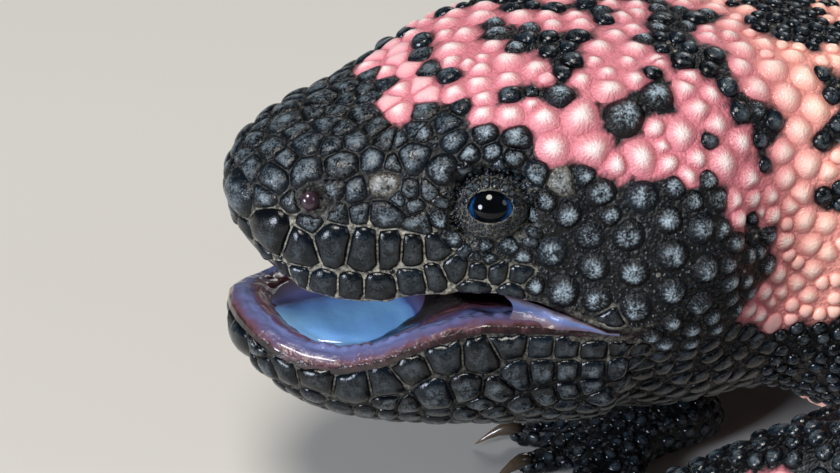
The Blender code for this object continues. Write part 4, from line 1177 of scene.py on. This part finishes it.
lining = inMouth(skinPoints, skinNormals) | inPit(skinPoints)
x = places[:, 0] - snoutX
onHead, onNeck, word = nodes == headIndex, nodes == neckIndex, firstWord[nodes]
onSnout, onCrown = onHead & (x < 30), onHead & (x >= 30) & (np.abs(places[:, 1]) < 13) & (places[:, 2] > 40)
onCheek = onHead & ~onSnout & ~onCrown
fineRings, plainRings = (0.34, 0.62, 0.84, 0.95, 1.0), (0.45, 0.8, 1.0)
addScales("snout_scales", onSnout, 16, fineRings)
addScales("crown_scales", onCrown, 16, fineRings)
addScales("cheek_scales_left", onCheek & (places[:, 1] < 0), 16, fineRings)
addScales("cheek_scales_right", onCheek & (places[:, 1] >= 0), 16, fineRings)
addScales("jaw_scales", nodes == jawIndex, 16, fineRings)
addScales("nape_scales", onNeck & (places[:, 2] > 30), 12, fineRings)
addScales("throat_scales", onNeck & (places[:, 2] <= 30), 12, plainRings)
for part in ("torso_front", "torso_middle", "torso_rear"):
    addScales(part + "_scales", nodes == fleshNodes.index(part), 12, plainRings)
addScales("tail_scales", word == "tail", 12, plainRings)
addScales("arm_scales", np.isin(word, ("upper", "forearm")), 12, plainRings)
addScales("leg_scales", np.isin(word, ("thigh", "shin")), 12, plainRings)
addScales("hand_scales", word == "hand", 8, plainRings)
addScales("foot_scales", word == "foot", 8, plainRings)
addGranules("head_granules", granuleSpots())


# Tan edge of old skin from over the upper lip to the eye, in the photo's pixels
tanEdge = ((362, 224), (392, 229), (427, 234), (450, 247))


def skinMarks(points, pointFlats):
    # red: pink, green: salmon, blue: pale seam, alpha: lining of the mouth and nostrils, near black as partly painted
    # shade
    marks = np.zeros((len(points), 4))
    tree = treeOf(places)
    seams = [(kindOf == "labial") & onHead, kindOf == "labial", kindOf == "plate", kindOf == "lid"]
    traits = np.column_stack([scaleMarks[:, :2], np.select(seams, [0.85, 0.3, 0.05, 0.3], 0.0)])
    for k, point in enumerate(points):
        near = tree.find_n(point, 4)
        index = [n[1] for n in near]
        weight = np.maximum(0.0, 1.35 - np.array([n[2] for n in near]) / radii[index]) + 1e-4
        marks[k, :3] = weight @ traits[index] / weight.sum()
    marks[:, 0] = smoothStep(0.3, 0.7, marks[:, 0])
    for a, b in zip(tanEdge, tanEdge[1:]):
        for share in np.linspace(0, 1, 12):
            met = skinTree.ray_cast(*rayThrough(*(np.array(a) * (1 - share) + np.array(b) * share)))[0]
            if met:
                snout = (snoutX, 0, 0)
                near = np.linalg.norm(np.abs(points - snout) - np.abs(np.array(met) - snout), axis=1)
                marks[:, 2] = np.maximum(marks[:, 2], 1 - smoothStep(0.5, 1.1, near))
    # The nostrils' insides take the lining's near black too, partly as painted shade in the pits
    fromNostril = np.min([np.linalg.norm(points - spot, axis=1) for spot in nostrils], 0)
    inNostril = fromNostril < skinShape["nostril"]["wide"] * 0.85
    marks[:, 3] = inMouth(points, pointFlats) | inNostril
    return marks


skin = meshObject("skin", skinPoints, skinFaces.tolist(), skinLook)
setMarks(skin, "marks", skinMarks(skinPoints, skinNormals))
mount(skin, "beaded_skin", *fleshNodes)
print("skin and coat in place")


# The mouth: gums rolled over the jaw's rim down to the floor, webs of skin in its corners, and the tongue
mouthShape = {
    # in from the jaw's edge, and above it at the front and at the rear
    "profile": ((0.15, -1.8, -0.7), (0.35, -1.0, 0.1), (0.9, -0.35, 0.5), (1.6, 0.1, 0.5), (2.4, 0.3, 0.38),
                (3.1, 0.3, 0.32), (3.8, 0.15, 0.2), (4.4, -0.15, -0.1), (5.0, -0.6, -0.5), (6.0, -1.1, -1.1),
                (9.0, -1.7, -1.8)),
    "bumpHeight": 0.38, "bumpPitch": 1.7, "bumpAt": 2.9, "bumpWidth": 0.8, "spine": (15.0, 44.0), "frontFloor": 31.2,
    "swell": 0.55, "swellAt": 20.0, "swellWidth": 7.0,
    "webFront": 29.5, "webRear": 42.4, "webBulge": 1.2,
}
tongueShape = {
    "rows": ((4.7, 0.3, 31.4), (5.2, 2.8, 31.7), (6.6, 5.6, 31.8), (9, 8.0, 31.9), (12, 9.4, 32.0), (17, 9.9, 32.5),
             (21, 9.2, 33.2), (26, 8.2, 33.8), (31, 7.6, 34.0), (38, 6.6, 33.4)),
    "thick": 2.6, "crown": 2.1, "sink": 1.9, "foldDepth": 0.5, "foldAt": 0.12, "foldWidth": 0.06,
}


def sheet(across, along, placeAt):
    # A grid of quads, each point put where placeAt says for its shares along and across
    shape = bmesh.new()
    bmesh.ops.create_grid(shape, x_segments=across, y_segments=along, size=0.5)
    shares = [(vert.co.x + 0.5, vert.co.y + 0.5) for vert in shape.verts]
    for vert, (u, v) in zip(shape.verts, shares):
        vert.co = placeAt(u, v)
    return shape, np.array(shares)


def addGums():
    outline = [(x, -half, rim) for x, half, rim, under in jawRows][::-1] + [(0.45, -1.6, 33.5), (0.45, 1.6, 33.5)] \
        + [(x, half, rim) for x, half, rim, under in jawRows]
    outline = np.array(outline) + (snoutX, 0, 0)
    gone = np.concatenate([[0], np.cumsum(np.linalg.norm(np.diff(outline, axis=0), axis=1))])
    profile = np.array(mouthShape["profile"])
    low, high = (snoutX + edge for edge in mouthShape["spine"])

    def placeAt(u, v):
        at = u * gone[-1]
        edge = np.array([np.interp(at, gone, outline[:, k]) for k in range(3)])
        inside = min(max(edge[0], low), high)
        spine = np.array((inside, 0.0, np.interp(inside, (low, low + 10), (mouthShape["frontFloor"], edge[2]))))
        reach = np.linalg.norm(spine - edge)
        step = v * (len(profile) - 1)
        deep, front, rear = (np.interp(step, range(len(profile)), profile[:, k]) for k in range(3))
        rearward = float(smoothStep(snoutX + 14, snoutX + 28, edge[0]))
        rise = front + (rear - front) * rearward
        deep *= 1 + 0.6 * rearward
        if v > 0.999:
            deep = reach
        ridge = math.exp(-((deep - mouthShape["bumpAt"]) / mouthShape["bumpWidth"]) ** 2) * mouthShape["bumpHeight"]
        swell = math.exp(-((edge[0] - snoutX - mouthShape["swellAt"]) / mouthShape["swellWidth"]) ** 2)
        rise += mouthShape["swell"] * swell * (1 - float(smoothStep(2.0, 4.0, deep)))
        ridge *= 0.2 + 0.8 * float(smoothStep(snoutX + 3, snoutX + 9, edge[0]))
        wave = 2 * math.pi * at / mouthShape["bumpPitch"] + 3 * noise.noise(Vector((at / 4, 0, 0)))
        rise += ridge * (0.5 + 0.5 * math.cos(wave))
        rise += 0.25 * noise.noise(Vector(edge) / 2.5 + Vector((0, 0, deep))) * float(smoothStep(0.8, 2.0, deep))
        return edge + (spine - edge) / reach * min(deep, reach) + (0, 0, rise)

    shape, shares = sheet(220, 40, placeAt)
    # Colour runs from the jaw's edge inwards; the deep floor and the rear corners run to near black, painted shade of
    # the mouth's cavity
    deep = np.interp(shares[:, 1] * (len(profile) - 1), range(len(profile)), profile[:, 0])
    rearward = smoothStep(0.72, 1.0, np.abs(shares[:, 0] - 0.5) * 2)
    across = deep / 6.5 + 0.4 * rearward * smoothStep(1.5, 3.5, deep)
    look = wetMaterial("gum_lining", (
        (0.0, "#120e12"), (0.05, "#2b1b1c"), (0.1, "#5c3d45"), (0.16, "#554c6b"), (0.3, "#5a6089"), (0.42, "#6b75a6"),
        (0.5, "#5a4f74"), (0.6, "#74454f"), (0.72, "#83474f"), (0.85, "#452b3a"), (1.0, "#0f090d")), 0.22, 620.0, 0.9)
    mount(shapeObject("gum_skin", shape, look, {"across": np.clip(across, 0, 1)}), "beaded_skin")


def addWebs():
    look = wetMaterial("corner_web_skin", (
        (0.0, "#2f1d1c"), (0.14, "#573a3b"), (0.3, "#5c5266"), (0.5, "#566ca0"), (0.66, "#6f6f84"),
        (0.82, "#46363a"), (1.0, "#1c1416")),
        0.35, 600.0, 0.5, 0.4, 0.2)
    for side, name in ((-1, "left"), (1, "right")):
        def placeAt(u, v):
            x = mouthShape["webFront"] + u * (mouthShape["webRear"] - mouthShape["webFront"])
            x += 1.4 * math.sin(math.pi * v) * (1 - u)
            lip, (half, rim, under) = lipAt(x), table(jawRows, x)
            tuck = 1.1 - 0.95 * u
            low, high = half - tuck, table(headHalf, x)[0] - tuck
            y = low + (high - low) * v - mouthShape["webBulge"] * math.sin(math.pi * v) * (1 - u)
            z = rim + 0.1 + (lip + 0.1 - rim) * v
            z += 0.12 * noise.noise(Vector((x, v * 6, 0)) / 1.4)
            # Where the mouth closes, the web follows the outside of the skin
            starts = [Vector((snoutX + x, side * 40, z + off)) for off in (-0.8, 0, 0.8)]
            hits = [skinTree.ray_cast(start, Vector((0, -side, 0)))[0] for start in starts]
            outer = max([side * met[1] for met in hits if met] + [y])
            y += (outer + 0.2 - y) * float(smoothStep(0.2, 0.5, u))
            return snoutX + x, side * y, z

        shape, shares = sheet(34, 16, placeAt)
        across = 0.1 + 0.75 * shares[:, 1] + 0.12 * shares[:, 0]
        mount(shapeObject("web_skin_" + name, shape, look, {"across": across}), "beaded_skin")


def addTongue():
    rows = tongueShape["rows"]
    shape = bmesh.new()
    bmesh.ops.create_uvsphere(shape, u_segments=48, v_segments=40, radius=1.0)
    shares = []
    for vert in shape.verts:
        along = 0.5 + math.asin(max(-1, min(1, vert.co.z))) / math.pi
        x = rows[0][0] + along * (rows[-1][0] - rows[0][0])
        half, top = table(rows, x)
        ring = max(math.hypot(vert.co.x, vert.co.y), 1e-6)
        y, up = vert.co.y / ring, vert.co.x / ring
        fold = math.exp(-((y - tongueShape["foldAt"]) / tongueShape["foldWidth"]) ** 2) if up > 0 else 0
        fold *= tongueShape["foldDepth"]
        closing = min(1.0, (1 - along) * 8)
        rise = tongueShape["crown" if up > 0 else "thick"] * up * min(half / 4, 1) * closing
        high = top - tongueShape["sink"] + rise - fold + 0.1 * noise.noise(Vector((x, 4 * y, 0)) / 2)
        vert.co = (snoutX + x, half * y * closing, high)
        shares.append((along, y))
    shares = np.array(shares)
    # Pale azure on the near side; the far side and the rear run to lilac, maroon and near black as painted shade
    near = -shares[:, 1]
    across = 0.5 - 0.42 * near + 0.12 * np.abs(near) ** 3 + 0.6 * smoothStep(0.42, 0.62, shares[:, 0])
    look = wetMaterial("tongue_flesh", (
        (0.0, "#8c9bee"), (0.12, "#7ab0f8"), (0.3, "#90ccff"), (0.44, "#82b2f4"), (0.52, "#5b68a8"),
        (0.62, "#7c7cb0"), (0.8, "#6c4c68"), (1.0, "#2a1520")),
        0.16, 380.0, 0.35, 0.12)
    mount(shapeObject("tongue_skin", shape, look, {"across": np.clip(across, 0, 1)}), "tongue", "tongue")


def eyeMaterial():
    # Wet ball of the eye: black pupil, dark blue iris paling outwards, near black beyond it
    made, tree = newMaterial("eye_ball")
    away = addNode(tree, "ShaderNodeAttribute", attribute_name="away")
    place = addNode(tree, "ShaderNodeTexCoord").outputs["Object"]
    fibres = addNode(tree, "ShaderNodeTexNoise", {"Vector": place, "Scale": 2600.0, "Detail": 3.0, "Roughness": 0.6})
    centred = addNode(tree, "ShaderNodeMath", {0: fibres.outputs["Fac"], 1: 0.5}, operation="SUBTRACT")
    moved = addNode(tree, "ShaderNodeMath", {
        0: centred.outputs[0], 1: 0.12, 2: away.outputs["Fac"]}, operation="MULTIPLY_ADD")
    pupil, iris = eyeShape["pupil"], eyeShape["iris"]
    colour = addRamp(tree, moved.outputs[0], (
        (0.0, "#020203"), (pupil, "#03060b"), (pupil + 0.06, "#0c2a55"), (iris, "#2460a4"), (iris + 0.08, "#123258"),
        (iris + 0.16, "#07080b")))
    shader = addNode(tree, "ShaderNodeBsdfPrincipled", {
        "Base Color": colour, "Roughness": 0.06, "IOR": 1.38, "Specular IOR Level": 0.3, "Coat Weight": 0.15,
        "Coat Roughness": 0.02})
    addNode(tree, "ShaderNodeOutputMaterial", {"Surface": shader.outputs[0]})
    return made


def addEyes():
    look = eyeMaterial()
    for side, name in ((-1, "eye_left"), (1, "eye_right")):
        centre, out, ahead, high = eyeFrame(side)
        shape = bmesh.new()
        bmesh.ops.create_uvsphere(shape, u_segments=48, v_segments=32, radius=eyeShape["ball"])
        away = []
        for vert in shape.verts:
            beside = math.hypot(vert.co.x, vert.co.y) / eyeShape["ball"]
            away.append(beside if vert.co.z > 0 else 1.0)
            vert.co = centre + ahead * vert.co.x + high * vert.co.y + out * vert.co.z
        mount(shapeObject(name + "_ball", shape, look, {"away": away}), "eye", name)


bulbShape = {"radii": (1.2, 1.4, 1.0), "sunk": 0.1}


def addNostrils():
    # A dark wet bulb in each nostril, as the photo shows
    look = wetMaterial("nostril_bulb", ((0.0, "#3f2b38"), (0.5, "#2b1d27"), (1.0, "#0b070a")), 0.5, 700.0, 0.3)
    for spot, name in ((nostrils[0], "left"), (nostrils[1], "right")):
        place, normal, node = (found[0] for found in settle([spot]))
        ahead = unit(np.cross(normal, (0, 0, 1.0)))
        high = np.cross(ahead, normal)
        shape = bmesh.new()
        bmesh.ops.create_uvsphere(shape, u_segments=24, v_segments=16, radius=1.0)
        for vert in shape.verts:
            wide, tall, deep = bulbShape["radii"]
            vert.co = (place + ahead * vert.co.x * wide + high * vert.co.y * tall
                       + normal * (vert.co.z * deep - bulbShape["sunk"]))
        across = np.full(len(shape.verts), 0.3)
        mount(shapeObject("nostril_bulb_" + name, shape, look, {"across": across}), "beaded_skin")


def clawMaterial():
    # Polished dark horn that goes paler and clearer at the point
    made, tree = newMaterial("claw_horn")
    place = addNode(tree, "ShaderNodeTexCoord").outputs["Object"]
    along = addNode(tree, "ShaderNodeAttribute", attribute_name="along")
    streak = addNode(tree, "ShaderNodeTexNoise", {"Vector": place, "Scale": 1400.0, "Detail": 2.0})
    base = addNode(tree, "ShaderNodeMixRGB", {"Fac": along.outputs["Fac"], "Color1": "#1d1815", "Color2": "#8c7458"})
    colour = addNode(tree, "ShaderNodeMixRGB", {
        "Fac": streak.outputs["Fac"], "Color1": base.outputs[0], "Color2": "#3a2d24"})
    shader = addNode(tree, "ShaderNodeBsdfPrincipled", {
        "Base Color": colour.outputs[0], "Roughness": 0.25, "IOR": 1.55, "Coat Weight": 0.5, "Coat Roughness": 0.1})
    addNode(tree, "ShaderNodeOutputMaterial", {"Surface": shader.outputs[0]})
    return made


# Along each claw in mm: how far out, the height and the girth
clawShape = {
    "knots": ((-0.5, 2.3, 1.05), (0.3, 2.75, 1.12), (1.4, 2.9, 1.0), (2.6, 2.6, 0.78), (3.9, 1.9, 0.52),
              (5.1, 1.05, 0.26), (5.9, 0.5, 0.06)),
    "sides": 12,
}


def addClaws():
    look = clawMaterial()
    knots = clawShape["knots"]
    for group in ("hand", "foot"):
        joined, shares = bmesh.new(), []
        for name, tip, way, size in handFrames():
            if not name.startswith(group):
                continue
            beside, claw = np.cross((0, 0, 1), way), bmesh.new()
            bmesh.ops.create_cone(claw, cap_ends=True, segments=clawShape["sides"], radius1=1, radius2=1, depth=1)
            edges = [edge for edge in claw.edges if abs(edge.verts[0].co.z - edge.verts[1].co.z) > 0.5]
            bmesh.ops.subdivide_edges(claw, edges=edges, cuts=len(knots) - 2)
            for vert in claw.verts:
                step = (vert.co.z + 0.5) * (len(knots) - 1)
                go, height, girth = (np.interp(step, range(len(knots)), column) for column in zip(*knots))
                high = max(0.06, height + girth * 1.05 * vert.co.y)
                vert.co = tip + way * go * size + beside * girth * 0.85 * vert.co.x + np.array((0, 0, high))
                shares.append(max(0.0, go / knots[-1][0]))
            carrier = bpy.data.meshes.new("claw")
            claw.to_mesh(carrier)
            joined.from_mesh(carrier)
            bpy.data.meshes.remove(carrier)
            claw.free()
        mount(shapeObject(group + "_claws", joined, look, {"along": shares}), "claw")


addGums()
addWebs()
addTongue()
addEyes()
addNostrils()
addClaws()
print("mouth, eyes, nostrils and claws in place")


# Pale floor and soft studio light
studio = {
    "target": (-170.0, 0.0, 42.0),
    # name: across the view, towards the camera, height, all in m; then size in m, power in W and colour
    "lamps": {"key": (-0.2, 0.6, 1.2, 0.5, 17.0, "#fffaf2"), "side": (-1.1, 1.0, 0.42, 0.45, 21.0, "#e6efff"),
              "fill": (1.4, 0.7, 0.8, 0.6, 3.0, "#e8f0ff"), "rim": (0.6, -1.4, 1.0, 0.7, 6.0, "#ffffff")},
    "glow": 0.1, "floorSize": 3000.0,
}


def addStage():
    made, tree = newMaterial("pale_floor")
    shader = addNode(tree, "ShaderNodeBsdfPrincipled", {"Base Color": "#cbc8c2", "Roughness": 0.8})
    addNode(tree, "ShaderNodeOutputMaterial", {"Surface": shader.outputs[0]})
    shape = bmesh.new()
    bmesh.ops.create_grid(shape, x_segments=1, y_segments=1, size=studio["floorSize"])
    shapeObject("floor", shape, made)
    world = bpy.data.worlds.new("studio")
    world.use_nodes = True
    world.node_tree.nodes.clear()
    glow = addNode(world.node_tree, "ShaderNodeBackground", {"Color": "#e6ebf0", "Strength": studio["glow"]})
    addNode(world.node_tree, "ShaderNodeOutputWorld", {"Surface": glow.outputs[0]})
    bpy.context.scene.world = world
    target, towards = Vector(studio["target"]) * mm, unit(back * (1, 1, 0))
    for name, (across, near, over, size, power, colour) in studio["lamps"].items():
        data = bpy.data.lights.new(name, "AREA")
        data.shape, data.size, data.energy, data.color = "DISK", size, power, linear(colour)[:3]
        lamp = bpy.data.objects.new(name, data)
        lamp.location = target + Vector(right * across + towards * near + np.array((0, 0, over)))
        lamp.rotation_mode = "QUATERNION"
        lamp.rotation_quaternion = (lamp.location - target).to_track_quat("Z", "Y")
        bpy.context.scene.collection.objects.link(lamp)
    bpy.context.scene.view_settings.view_transform = "Standard"


addStage()
